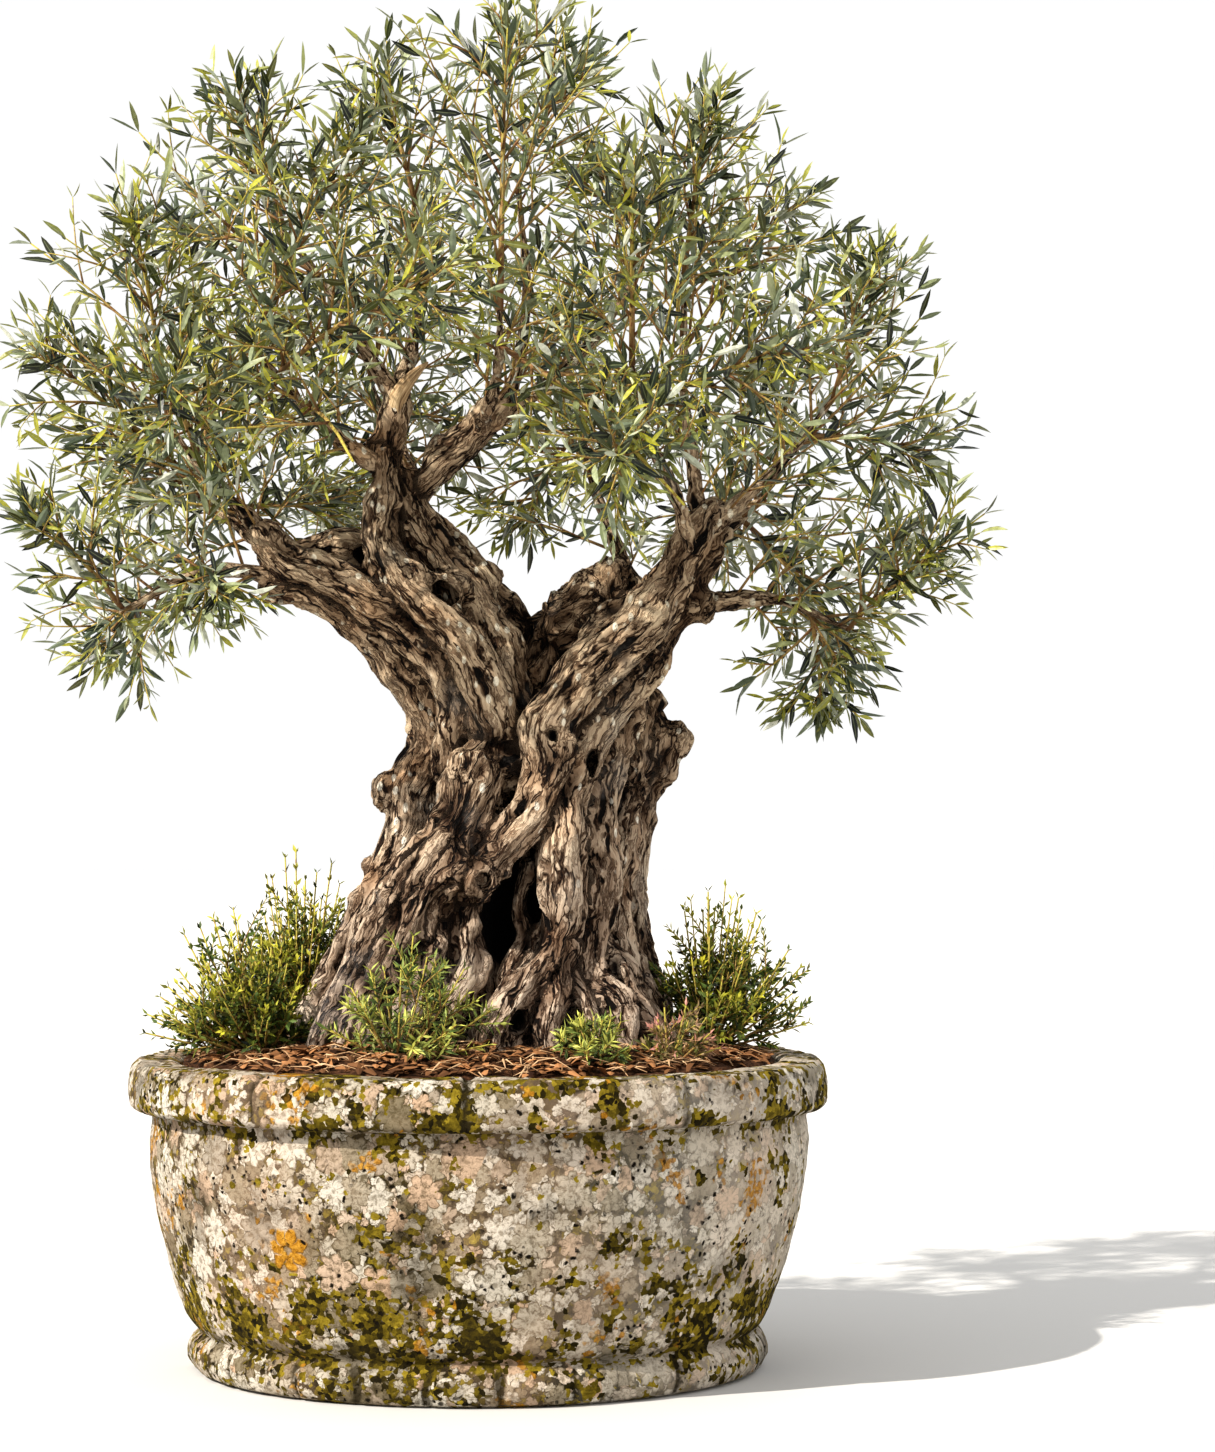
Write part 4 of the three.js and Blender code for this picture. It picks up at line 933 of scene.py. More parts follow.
def bark_height(place, points):
    """The bark's height in millimetres: ropes 12 mm wide that run with the strand, pits drawn out along the
    grain, and lumps. Also gives the part of it that is furrows and pits, which the colour darkens as the
    bark's own dark cracks and as painted shade."""
    bend = place + 0.006 * np.stack([noise(points, 0.030, k) for k in (50, 51, 52)], axis=1)
    ropes = ridges(bend, (0.012, 0.012, 0.060), 60) + 0.5 * ridges(bend, (0.007, 0.007, 0.030), 61)
    lumps = 2.8 * rough(points, 0.030, 3, 63) + 1.2 * noise(points, 0.011, 68)
    pits = lift(0.5, 0.8, noise(bend, (0.011, 0.011, 0.018), 67))
    relief_and_shading = 2.0 * ropes - 5.0 * pits
    return relief_and_shading + lumps - 0.8, relief_and_shading


def make_trunk(material):
    """The fused skin, moved along its normals by the bark's height, with a deep seam between strands. The
    height is stored for the colour: painted shade in furrows and seams, a painted highlight on crests. Deep
    in a hollow the wood is painted near black, as painted shade."""
    points, normals, quads = fused_wood()
    place, valley, outside = grain_place(points, strand_guides())
    seam = np.exp(-np.maximum(valley, 0) / SEAM_WIDTH)
    height, relief_and_shading = bark_height(place, points)
    height += 1.2 - SEAM_DEPTH * seam
    # For the colour: dark cracks, with painted shade in furrows and seams and a painted highlight on crests
    relief_and_shading += 0.4 * (height - relief_and_shading) - 2.0 * seam
    # Painted shade: a mask of the deep parts of the hollows, which the bark's colour paints near black
    (x, y, z), (wide, deep, high), _ = HOLLOWS[0]
    away = np.linalg.norm((points / MM - (x, y, z)) / (wide + 5, deep, high + 5), axis=1)
    cave = lift(1.15, 0.95, away) * lift(y, y + 0.4 * deep, points[:, 1] / MM)
    cave = np.maximum(cave, lift(-0.004, -0.012, outside))
    moved = points + normals * (height * (1 - 0.7 * cave) * MM)[:, None]
    moved[:, 2] = np.maximum(moved[:, 2], SOIL_COVER_Z)
    piece = make_piece("trunk", moved, quads, materials=[material], grain=place, height=relief_and_shading, cave=cave)
    seat(piece, "bark", "trunk_and_boughs")


# %% [markdown]
# Olive bark is grey-brown outside, paler on the crests and nearly black in the cracks. The height that
# shaped the skin is stored on it, so the colour can follow the same furrows: darker in them and in the
# seams between strands, partly as painted shade, and paler on the crests, partly as a painted highlight.
# Noise that is drawn out along the grain adds the folds, wrinkles and fibres that are too fine for the mesh.

# %% Olive bark


def olive_bark():
    """Dry grey-brown bark: dull, 0.88 rough, with dark wrinkles along the grain, small holes and fibres."""
    material, add = new_material("olive_bark", 0.88, 0.2)
    place = add("TexCoord", out="Object")
    grain = add("Attribute", attribute_name="grain", out="Vector")
    height = add("Attribute", attribute_name="height", out="Fac")
    cave = add("Attribute", attribute_name="cave", out="Fac")
    wander = add("TexNoise", place, Scale=60, Detail=3, out="Color")
    bent = add("VectorMath MULTIPLY_ADD", wander, (0.009, 0.009, 0.009), grain)
    # Each pattern is drawn out along the grain: folds 12 mm apart, wrinkles 5 mm apart and fibres 2 mm apart
    flowing = add("Mapping", bent, Scale=(1, 1, 0.2))
    folds = add("TexNoise", flowing, Scale=85, Detail=3, Roughness=0.55)
    fold = add("ValToRGB", folds, stops=[(0.465, 0.0), (0.492, 1.0), (0.508, 1.0), (0.53, 0.0)])
    wrinkles = add("TexNoise", flowing, Scale=210, Detail=3, Roughness=0.6)
    wrinkle = add("ValToRGB", wrinkles, stops=[(0.45, 0.0), (0.485, 1.0), (0.515, 1.0), (0.55, 0.0)])
    fibres = add("TexNoise", add("Mapping", bent, Scale=(1, 1, 0.14)), Scale=520, Detail=5, Roughness=0.7)
    patches = add("TexNoise", place, Scale=17, Detail=4, Roughness=0.6)
    pit = add("ValToRGB", add("TexVoronoi", flowing, Scale=62), stops=[(0.13, 1.0), (0.19, 0.0)])
    # Tone from the stored height: painted shade in furrows and seams, a painted highlight on crests
    tone = add("Math MULTIPLY_ADD", height, 0.042, 0.62)
    parts = [(add("Math SUBTRACT", fibres, 0.5), 0.5), (add("Math SUBTRACT", folds, 0.5), 0.35),
             (fold, -0.34), (wrinkle, -0.16), (pit, -0.5)]
    for part, weight in parts:
        tone = add("Math MULTIPLY_ADD", part, weight, tone)
    colour = add("ValToRGB", tone, stops=[
        (0.08, "#0d0704"), (0.26, "#3a2719"), (0.44, "#7c6650"), (0.62, "#b59e83"), (0.88, "#dcc9aa")])
    warm = add("ValToRGB", patches, stops=[(0.54, 0.0), (0.7, 0.4)])
    colour = add("Mix RGBA", warm, colour, "#9a7440", blend_type="OVERLAY")
    colour = add("Mix RGBA", add("ValToRGB", patches, stops=[(0.3, 0.4), (0.44, 0.0)]), colour, "#8d877e")
    # Painted light: pale flecks 3 mm wide on the high parts above the foot, painted sunlight through the leaves
    specks = add("TexVoronoi", add("Mapping", place, Scale=(1, 1, 0.6)), Scale=104).node.outputs
    few = add("Math LESS_THAN", add("SeparateColor", specks["Color"]), 0.72)
    sun_fleck = add("Math MULTIPLY", add("ValToRGB", specks["Distance"], stops=[(0.20, 1.0), (0.26, 0.0)]), few)
    high = add("ValToRGB", add("Math MULTIPLY_ADD", height, 0.05, 0.5), stops=[(0.42, 0.0), (0.5, 1.0)])
    above = add("SeparateXYZ", place).node.outputs["Z"]
    upper = add("ValToRGB", above, stops=[(0.31, 0.0), (0.39, 0.9)])
    sun_fleck = add("Math MULTIPLY", add("Math MULTIPLY", sun_fleck, high), upper)
    colour = add("Mix RGBA", sun_fleck, colour, "#f0e6d0")
    # Rain washes the foot greyer than the limbs
    foot = add("ValToRGB", above, stops=[(0.26, 1.0), (0.50, 0.0)])
    colour = add("Mix RGBA", foot, colour, (1.16, 1.22, 1.42, 1), blend_type="MULTIPLY")
    # Painted shade: deep in the hollows the bark is painted near black
    colour = add("Mix RGBA", cave, colour, "#0d0805")
    relief = add("Math MULTIPLY_ADD", fibres, 0.3, add("Math MULTIPLY", folds, 0.9))
    sunk = add("Math MULTIPLY_ADD", fold, 0.55, add("Math MULTIPLY", pit, 0.8))
    relief = add("Math SUBTRACT", relief, sunk)
    relief = add("Math MULTIPLY_ADD", wrinkle, -0.35, relief)
    return coat(material, colour, relief, 0.0045)


BARK = olive_bark()
make_trunk(BARK)

# %% [markdown]
# Thinner boughs carry on from the limbs into the crown. Each is a tapering tube along a smooth line that
# starts inside its limb. The same bark covers them, so they store the same grain and height.

# %% The boughs
# Stations of each bough from its limb to its tip: x, y, z and radius in mm
BOUGHS = [
    [(-154, -28, 600, 11), (-170, -26, 628, 8), (-196, -24, 654, 6), (-232, -20, 700, 3.5)],
    [(-150, -6, 604, 9), (-176, 20, 622, 7), (-205, 62, 646, 5), (-226, 106, 668, 3.5)],
    [(-150, -26, 584, 8), (-178, -34, 590, 6.5), (-214, -44, 586, 5), (-262, -50, 560, 3.5)],
    [(-63, -10, 722, 8), (-84, -14, 752, 6.5), (-112, -24, 796, 5), (-146, -34, 844, 3.5)],
    [(-62, -8, 722, 9), (-52, 12, 760, 7), (-44, 40, 822, 5), (-50, 66, 880, 3.5)],
    [(10, -2, 708, 9), (26, -10, 738, 7), (34, -26, 800, 5), (26, -40, 872, 3.5)],
    [(8, 0, 704, 8), (50, 20, 738, 6.5), (92, 56, 782, 5), (126, 82, 836, 3.5)],
    [(166, -12, 618, 10), (160, -14, 664, 7), (152, -20, 726, 5), (150, -28, 800, 3.5)],
    [(168, -10, 622, 9), (196, -8, 646, 7), (228, -16, 676, 5), (264, -20, 722, 3.5)],
    [(160, 10, 606, 9), (180, 40, 624, 7), (206, 74, 644, 5), (232, 112, 672, 3.5)],
    [(160, -5, 566, 10), (206, -8, 572, 7), (232, -16, 568, 5), (274, -30, 548, 3.5)],
    [(-80, -18, 672, 8), (-108, -46, 690, 6), (-138, -82, 716, 5), (-164, -124, 744, 3.5)],
    [(0, -8, 700, 7), (6, -50, 712, 6), (12, -96, 736, 5), (14, -144, 768, 3.5)],
    [(158, -20, 606, 7), (144, -66, 640, 6), (122, -106, 684, 5), (108, -146, 730, 3.5)],
    [(-44, 12, 652, 8), (-56, 60, 680, 6.5), (-72, 112, 716, 5), (-88, 160, 756, 3.5)],
    [(128, 24, 566, 8), (104, 76, 620, 6.5), (84, 122, 690, 5), (72, 160, 752, 3.5)],
]
BOUGH_SIDES, BOUGH_STEPS = 12, 60


def rings_and_grain(skin, sides, length):
    """For each point of a tube's skin, the middle of its ring and its place in the grain, a circle 12 mm wide
    with the run along the tube."""
    rings = len(skin) // sides
    turn = np.tile(circle(sides), rings)
    run = np.repeat(np.linspace(0, length, rings), sides)
    grain = np.stack([0.006 * np.cos(turn), 0.006 * np.sin(turn), run], axis=1)
    return skin.reshape(-1, sides, 3).mean(axis=1).repeat(sides, axis=0), grain


def make_boughs(material):
    """Tubes that wander and thin towards their tips, out of round by up to a quarter of their radius."""
    parts, grains, heights = [], [], []
    share = np.linspace(0, 1, BOUGH_STEPS)[:, None]
    for number, path in enumerate(BOUGHS):
        points, radii = smooth_line(path, BOUGH_STEPS)
        radii = radii * np.linspace(0.95, 0.6, BOUGH_STEPS)
        points = points + 0.003 * rough(points * (1, 1, 0.5) + number, 0.05, 2, 71)[:, None] * share
        skin, quads = tube(points, radii, BOUGH_SIDES)
        centres, grain = rings_and_grain(skin, BOUGH_SIDES, 0.2)
        height = rough(skin, 0.012, 3, 70)
        parts.append((centres + (skin - centres) * (1 + 0.26 * height[:, None]), quads))
        grains.append(grain + (0, 0, number))
        heights.append(2.5 * height)
    points, quads = joined(parts)
    piece = make_piece("boughs", points, quads, materials=[material], grain=np.concatenate(grains),
                       height=np.concatenate(heights), cave=np.zeros(len(points)))
    seat(piece, "bark", "trunk_and_boughs")


make_boughs(BARK)

# %% [markdown]
# On top of the left fork stands a snag: the stub of a bough that died and lost its bark. Bare olive wood
# dries to a pale tan with fine grey lines along the grain.

# %% The bare snag
SNAG = [(-64, -14, 712, 6.5), (-62, -17, 721, 6.5), (-56, -20, 731, 5.4), (-48, -22, 740, 3.6),
        (-40, -23, 747, 1.2)]
SNAG_SIDES = 16


def bare_wood():
    """Weathered dead wood: dull, 0.8 rough, with grey lines 1 to 2 mm apart along the grain."""
    material, add = new_material("bare_olive_wood", 0.8, 0.2)
    grain = add("Attribute", attribute_name="grain", out="Vector")
    lines = add("TexNoise", add("Mapping", grain, Scale=(1, 1, 0.08)), Scale=520, Detail=4, Roughness=0.65)
    colour = add("ValToRGB", lines, stops=[(0.34, "#5f4a35"), (0.46, "#a98c69"), (0.66, "#dcc39c")])
    return coat(material, colour, lines, 0.0012)


def make_snag(material):
    """A tapering bent tube, out of round by noise that runs along its grain."""
    skin, quads = tube(*smooth_line(SNAG, 40), SNAG_SIDES)
    centres, grain = rings_and_grain(skin, SNAG_SIDES, 0.055)
    skin = centres + (skin - centres) * (1 + 0.2 * rough(grain, (0.004, 0.004, 0.04), 2, 90)[:, None])
    seat(make_piece("snag", skin, quads, materials=[material], grain=grain), "bark")


make_snag(bare_wood())

# %% [markdown]
# Everything green grows by one rule: a shoot is a curve, new shoots leave it at an angle, each turned round
# it by the golden angle, and leaves leave it in pairs. So a few functions make the whole crown as arrays:
# points on many curves at once, directions that leave them, thin tubes for twigs, and leaf blades.

# %% Helpers for growth
QUARTER_TURN, HALF_TURN, FULL_TURN = 1.57, 3.14, 6.28


def curve_points(curves, share):
    """Points and directions of quadratic Bezier curves, one share each or a row of shares for all.
    The point is the start, middle and end handles weighed by (1-t) squared, 2t(1-t) and t squared."""
    share = np.broadcast_to(share, (len(curves), np.shape(share)[-1]))[..., None]
    start, middle, end = (curves[:, None, k] for k in range(3))
    points = start * (1 - share) ** 2 + middle * 2 * share * (1 - share) + end * share**2
    return points, unit((middle - start) * (1 - share) + (end - middle) * share)


def sides_of(along):
    """Two directions square to each direction: one level, and one that rises."""
    level = np.stack([-along[..., 1], along[..., 0], np.zeros(along.shape[:-1])], axis=-1)
    steep = np.linalg.norm(level, axis=-1, keepdims=True) < 0.1
    level = unit(np.where(steep, (1.0, 0.0, 0.0), level))
    return level, unit(np.cross(along, level))


def branch_off(along, turn, angle):
    """Directions that leave others at an angle, at a turn round them."""
    level, rise = sides_of(along)
    turn, angle = np.asarray(turn)[..., None], np.asarray(angle)[..., None]
    out = level * np.cos(turn) + rise * np.sin(turn)
    return unit(along * np.cos(angle) + out * np.sin(angle))


def side_shoots(curves, share, turn, angle, length):
    """One new curve from each curve: it leaves at a share, and its end lifts by an eighth of its length."""
    start, along = curve_points(curves, np.asarray(share)[:, None])
    start, along = start[:, 0], along[:, 0]
    end = start + branch_off(along, turn, angle) * length[:, None]
    end[:, 2] += 0.12 * length
    middle = (start + end) / 2 - branch_off(along, turn, angle + 1.2) * length[:, None] * 0.06
    return np.stack([start, middle, end], axis=1)


def twig_mesh(curves, thick, taper, steps=5):
    """Four-sided tubes along many curves, each closed at both ends by a face. Taper is the tip's share of the
    radius at the foot."""
    share = np.linspace(0, 1, steps)
    centre, _ = curve_points(curves, share)
    level, rise = sides_of(unit(curves[:, 2] - curves[:, 0]))
    radius = thick[:, None] * (1 - share) + thick[:, None] * taper * share
    turn = circle(4)[None, :, None]
    out = level[:, None] * np.cos(turn) + rise[:, None] * np.sin(turn)
    points = centre[:, :, None] + out[:, None] * radius[:, :, None, None]
    ends = [(3, 2, 1, 0)], [np.arange(4) + (steps - 1) * 4]
    quads = np.concatenate([grid_quads(steps, 4, True), *ends])
    base = np.arange(len(curves))[:, None, None] * steps * 4
    far = np.broadcast_to(share[None, :, None], points.shape[:3])
    return points.reshape(-1, 3), (quads[None] + base).reshape(-1, 4), far.ravel()


# %% [markdown]
# An olive leaf is a blade of 14 corners, closed on all sides, so it can be seen and lit from above and
# below. The corners of all leaves of a spray are worked out at once, in arrays of leaf by row by corner.

# %% Helpers for leaves


def leaf_mesh(foot, along, up, length, width, thickness, bend, rows):
    """Closed lance-shaped blades, folded along the midrib and bent back towards the tip. Each row has a left
    edge, a ridge above, a right edge and a keel below. rows holds (place, breadth) pairs. The side value is
    0 on the ridge, 1 on the keel and a half at the edges. A length, width or bend is one number for all
    leaves or one for each."""
    across = unit(np.cross(up, along))
    out = np.cross(along, across)
    place, breadth = np.array(rows).T[:, None, :, None]
    length, width, bend = (np.broadcast_to(v, len(foot))[:, None, None] for v in (length, width, bend))
    middle = foot[:, None] + along[:, None] * place * length - out[:, None] * bend * place**2 * length
    half = across[:, None] * breadth * width / 2
    fold = out[:, None] * breadth * width * 0.16
    thick = out[:, None] * thickness / 2 * (0.4 + 0.6 * breadth)
    ring = np.stack([middle + half + fold, middle + thick, middle - half + fold, middle - thick], axis=2)
    tip = foot + along * length[:, 0] - out * bend[:, 0] * length[:, 0]
    count, size = len(foot), 4 * len(rows) + 2
    points = np.concatenate([foot[:, None], ring.reshape(count, -1, 3), tip[:, None]], axis=1)
    j = np.arange(4)
    after = (j + 1) % 4
    last = size - 5
    fans = np.concatenate([np.stack([j * 0, 1 + after, 1 + j], axis=1),
                           np.stack([last + j, last + after, j * 0 + size - 1], axis=1)])
    quads = grid_quads(len(rows), 4, True) + 1
    base = np.arange(count)[:, None, None] * size
    side = np.concatenate([[0.5], np.tile([0.5, 0.0, 0.5, 1.0], len(rows)), [0.5]])
    return (points.reshape(-1, 3), (quads[None] + base).reshape(-1, 4), (fans[None] + base).reshape(-1, 3),
            np.tile(side, count), size)


def leaf_pairs(curves, share, rng):
    """Two leaves opposite each other at shares of many curves, each pair a quarter turned from the last: for
    each leaf its foot, the curve's direction, its share and its turn round the curve."""
    foot, along = curve_points(curves, share)
    foot, along, share = (np.repeat(v, 2, axis=1) for v in (foot, along, share))
    number = np.arange(share.shape[1])
    turn = (number // 2) * QUARTER_TURN + (number % 2) * HALF_TURN
    return foot, along, share, turn + rng.uniform(0, FULL_TURN, (len(curves), 1))


def leafy_piece(name, twigs, leaves, tint, youth, materials):
    """One mesh of twigs and leaves. Twigs carry their share along the shoot as youth, and leaves carry a
    side, a tint and a youth."""
    twig_points, twig_quads, far = twigs
    points, quads, triangles, side, size = leaves
    start = len(twig_points)
    blank = np.zeros(start)
    faces_of = np.concatenate([np.ones(len(twig_quads)), np.zeros(len(quads) + len(triangles))])
    return make_piece(
        name, np.concatenate([twig_points, points]), np.concatenate([twig_quads, quads + start]),
        triangles + start, materials, faces_of, faces_of > 0.5,
        side=np.concatenate([blank, side]), tint=np.concatenate([blank, np.repeat(tint, size)]),
        youth=np.concatenate([far, np.repeat(youth, size)]))


# %% [markdown]
# An olive leaf is a narrow lance, dark grey-green and slightly glossy above, silvery and matt below, on
# twigs that go from grey-brown to yellow-green. One material shows the colour of the side it is on.

# %% Leaf and twig materials


def olive_leaf():
    """Leathery evergreen leaf: waxy above with roughness 0.38, and felted silver below."""
    material, add = new_material("olive_leaf_blade", 0.38, 0.5)
    values = ("side", "tint", "youth")
    side, tint, youth = (add("Attribute", attribute_name=value, out="Fac") for value in values)
    above = add("ValToRGB", tint, stops=[
        (0.0, "#080d0b"), (0.35, "#18231c"), (0.65, "#414d23"), (1.0, "#a0a884")])
    above = add("Mix RGBA", youth, above, "#b3b035")
    above = add("Mix RGBA", add("ValToRGB", side, stops=[(0.0, 0.55), (0.12, 0.0)]), above, "#98a077")
    below = add("ValToRGB", tint, stops=[(0.0, "#4a5645"), (0.5, "#8b957d"), (1.0, "#e6e8d8")])
    below = add("Mix RGBA", add("Math MULTIPLY", youth, 0.7), below, "#9a9c3c")
    colour = add("Mix RGBA", add("ValToRGB", side, stops=[(0.499, 0.0), (0.501, 1.0)]), above, below)
    mottle = add("TexNoise", add("TexCoord", out="Object"), Scale=260, Detail=3)
    colour = add("Mix RGBA", add("ValToRGB", mottle, stops=[(0.35, 0.35), (0.6, 0.0)]), colour, "#2d3826")
    return coat(material, colour, mottle, 0.0004, 0.4)


def young_bark():
    """Thin smooth bark: grey-brown at the foot of a shoot, tan and yellow-green at its tip."""
    material, add = new_material("young_bark", 0.7, 0.3)
    far = add("Attribute", attribute_name="youth", out="Fac")
    spots = add("TexNoise", add("TexCoord", out="Object"), Scale=420, Detail=3)
    colour = add("ValToRGB", far, stops=[(0.0, "#75583b"), (0.35, "#a68c55"), (1.0, "#b9b04e")])
    colour = add("Mix RGBA", add("ValToRGB", spots, stops=[(0.5, 0.0), (0.65, 0.7)]), colour, "#7c4632")
    return coat(material, colour)


LEAF, TWIG = olive_leaf(), young_bark()
print("materials", LEAF.name, TWIG.name)

# %% [markdown]
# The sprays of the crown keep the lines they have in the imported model: the tips lie in even directions on
# a dome that is drawn out to the crown's outline, and each spray leaves the nearest free place on a bough
# that points its way. Along each line grow a score of side shoots with smaller ones on them, all in leaf.

# %% The lines of the sprays
SPRAYS = 36
CROWN_CENTRE = np.array([0.005, 0, 0.700])
CROWN_DEPTH = 0.285
CROWN_FALL = 1.74
# The crown's reach in mm each 15 degrees, from 60 below level at the right over the top to the left
CROWN_OUTLINE = [
    230, 330, 392, 384, 362, 338, 334, 292, 264, 296, 312, 300, 300, 296, 334, 350, 356, 380, 376, 340, 240]


def draw(a, b):
    """A repeatable number from 0 to 1 for a pair of whole numbers."""
    wave = math.sin(a * 127.1 + b * 311.7) * 43758.5453
    return wave - math.floor(wave)


def spray_tip(i):
    """Where spray i ends: its direction on the dome, times the outline's reach at that angle."""
    rise = 1 - CROWN_FALL * (i + 0.5) / SPRAYS
    level = math.sqrt(1 - rise * rise)
    direction = np.array([level * math.cos(i * GOLDEN_ANGLE), level * math.sin(i * GOLDEN_ANGLE), rise])
    angle = math.degrees(math.atan2(direction[2], direction[0]))
    if angle < -90:
        angle += 360
    reach = np.interp((angle + 60) / 15, range(len(CROWN_OUTLINE)), CROWN_OUTLINE) * MM
    reach *= 0.9 + 0.09 * draw(i, 7)
    tip = CROWN_CENTRE + direction * (reach, CROWN_DEPTH, reach)
    tip[2] = max(tip[2], 0.650 - 1.15 * max(0, abs(tip[0]) - 0.120))
    return tip


def spray_curves():
    """The curve of each spray: from the nearest free place on a bough to its tip, arched up by a tenth."""
    free = []
    for path in BOUGHS:
        points, _, directions = smooth_at(path, np.array([1, 0.8, 0.6]))
        free += list(zip(points, directions, (1, 0.8, 0.6)))
    curves = []
    for i in range(SPRAYS):
        tip = spray_tip(i)
        costs = []
        for point, direction, share in free:
            run = tip - point
            ahead = run.dot(direction) / np.linalg.norm(run)
            awkward = ahead < 0.2 if share == 1 else ahead > 0.8
            costs.append(np.linalg.norm(run) + (0.3 if awkward else 0))
        point = free.pop(int(np.argmin(costs)))[0]
        middle = (point + tip) / 2 + (0, 0, 0.1 * np.linalg.norm(tip - point))
        curves.append((point, middle, tip))
    return np.array(curves)


CURVES = spray_curves()
print("spray lengths", np.round(np.linalg.norm(CURVES[:, 2] - CURVES[:, 0], axis=1), 3))

# %% [markdown]
# A side shoot is longer the nearer it is to the spray's foot, so the spray ends in a point. Leaves that would
# hide the three limbs, or pass the crown's depth and height, are left off.

# %% Helpers for sprays
LEAF_ROWS = [(0.22, 0.72), (0.50, 1.0), (0.80, 0.60)]
LEAF_LENGTHS = (0.0180, 0.0310)
LEAF_THICK = 0.0006
MAIN_R, SIDE_R, SMALL_R, TAPER = 0.0024, 0.0012, 0.0008, 0.45
SIDE_STEP, SIDE_SHORTEST, SIDE_LONGEST = 0.018, 0.036, 0.115
SHOOTS_A_BOUGH = 9
CROWN_HALF_DEPTH, CROWN_TOP = 0.322, 1.030
# Ellipses where the limbs show between the leaves: x, z and half sizes in mm
WINDOWS = [(-48, 662, 62, 76), (-130, 604, 72, 36), (160, 610, 42, 62)]


def leaves_on(curves, pairs, first, rng, small=1.0, youth=0.0):
    """Olive leaves on many curves, in pairs that lean forwards more towards the tip: feet, directions, the
    way each faces, lengths and youth."""
    share = np.linspace(first, 1.0, pairs) + rng.uniform(-0.02, 0.0, (len(curves), pairs))
    foot, along, share, turn = leaf_pairs(curves, share, rng)
    turn = turn + rng.normal(0, 0.25, share.shape)
    angle = 1.12 - 0.62 * share + rng.normal(0, 0.22, share.shape)
    direction = branch_off(along, turn, angle)
    up = unit(rng.normal(0, 0.9, direction.shape) + along * 0.4 + (0, -0.2, 0.7))
    length = rng.uniform(*LEAF_LENGTHS, share.shape) * small * (1.06 - 0.18 * share)
    young = np.clip(youth + rng.normal(0, 0.22, share.shape) + 0.25 * (share > 0.9), 0, 1) ** 1.5
    flat = [v.reshape(-1, 3) for v in (foot, direction, up)]
    return flat + [length.ravel(), young.ravel()]


def clear_of_limbs(points):
    """Which points to keep: those in front of the three limbs are left out, so that the wood shows."""
    keep = np.ones(len(points), bool)
    for x, z, wide, high in WINDOWS:
        inside = ((points[:, 0] / MM - x) / wide) ** 2 + ((points[:, 2] / MM - z) / high) ** 2 < 1
        keep &= ~(inside & (points[:, 1] < 0.010))
    return keep


def in_leaf(name, shoots, thick, leaves, width, tint, rng):
    """A mesh of shoots and olive leaves. Width is a leaf's breadth over its length, and tint holds the mean
    and the spread of the leaves' tones."""
    foot, direction, up, length, youth = leaves
    bend = rng.uniform(-0.05, 0.22, len(foot))
    shape = leaf_mesh(foot, direction, up, length, length * width, LEAF_THICK, bend, LEAF_ROWS)
    tones = np.clip(rng.normal(*tint, len(foot)), 0, 1)
    return leafy_piece(name, twig_mesh(shoots, thick, TAPER), shape, tones, youth, [LEAF, TWIG])


# %% The sprays


def spray_growth(curve, i):
    """All shoots of one spray as curves, with their radii, and all its leaves. The first two side shoots are
    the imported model's own. The last two are leaders that run on past the tip, so that the crown is ragged."""
    rng = np.random.default_rng(100 + i)
    reach = np.linalg.norm(curve[2] - curve[0])
    count = int(7 + reach / SIDE_STEP)
    share = np.concatenate([[0.26, 0.56], np.linspace(0.06, 0.97, count - 2)])
    turn = np.concatenate([[i, 2.9 + i], np.arange(count - 2) * GOLDEN_ANGLE + i])
    length = np.minimum(SIDE_SHORTEST + 0.62 * (1 - share) * reach, SIDE_LONGEST)
    length *= rng.uniform(0.7, 1.2, count)
    length[:2] = (0.066, 0.053)
    angle = 0.95 - 0.35 * share + rng.normal(0, 0.14, count)
    share[-2:], angle[-2:] = (0.82, 0.90), (0.30, 0.22)
    length[-2:] = 0.18 * reach + rng.uniform(0.006, 0.034, 2)
    main = curve[None]
    sides = side_shoots(np.repeat(main, count, axis=0), share, turn, angle, length)
    small = side_shoots(
        np.repeat(sides, 2, axis=0), np.tile([0.32, 0.6], count) + rng.uniform(-0.06, 0.06, 2 * count),
        rng.uniform(0, FULL_TURN, 2 * count), 0.75, np.repeat(length, 2) * rng.uniform(0.4, 0.62, 2 * count))
    groups = [leaves_on(main, 8, 0.35, rng, 1.0, 0.05), leaves_on(sides, 5, 0.26, rng, 1.0, 0.05),
              leaves_on(small, 3, 0.36, rng, 0.68, 0.6)]
    leaves = [np.concatenate(v) for v in zip(*groups)]
    ends = leaves[0] + leaves[1] * leaves[3][:, None]
    keep = clear_of_limbs(leaves[0]) & (np.abs(ends[:, 1]) < CROWN_HALF_DEPTH) & (ends[:, 2] < CROWN_TOP)
    leaves = [v[keep] for v in leaves]
    shoots = np.concatenate([main, sides, small])
    thick = np.repeat([MAIN_R, SIDE_R, SMALL_R], [1, count, 2 * count])
    keep = clear_of_limbs(shoots[:, 2]) & clear_of_limbs(shoots[:, 1])
    keep[0] = True
    return shoots[keep], thick[keep], leaves, rng


def make_spray(curve, i):
    """Twigs and leaves of one spray in one mesh. Gives the number of its leaves."""
    shoots, thick, leaves, rng = spray_growth(curve, i)
    count = len(leaves[0])
    width = rng.uniform(0.17, 0.235, count)
    name = "spray_" + str(i + 1).zfill(2)
    seat(in_leaf(name + "_in_leaf", shoots, thick, leaves, width, (0.36, 0.38), rng), "olive_leaf", name)
    return count


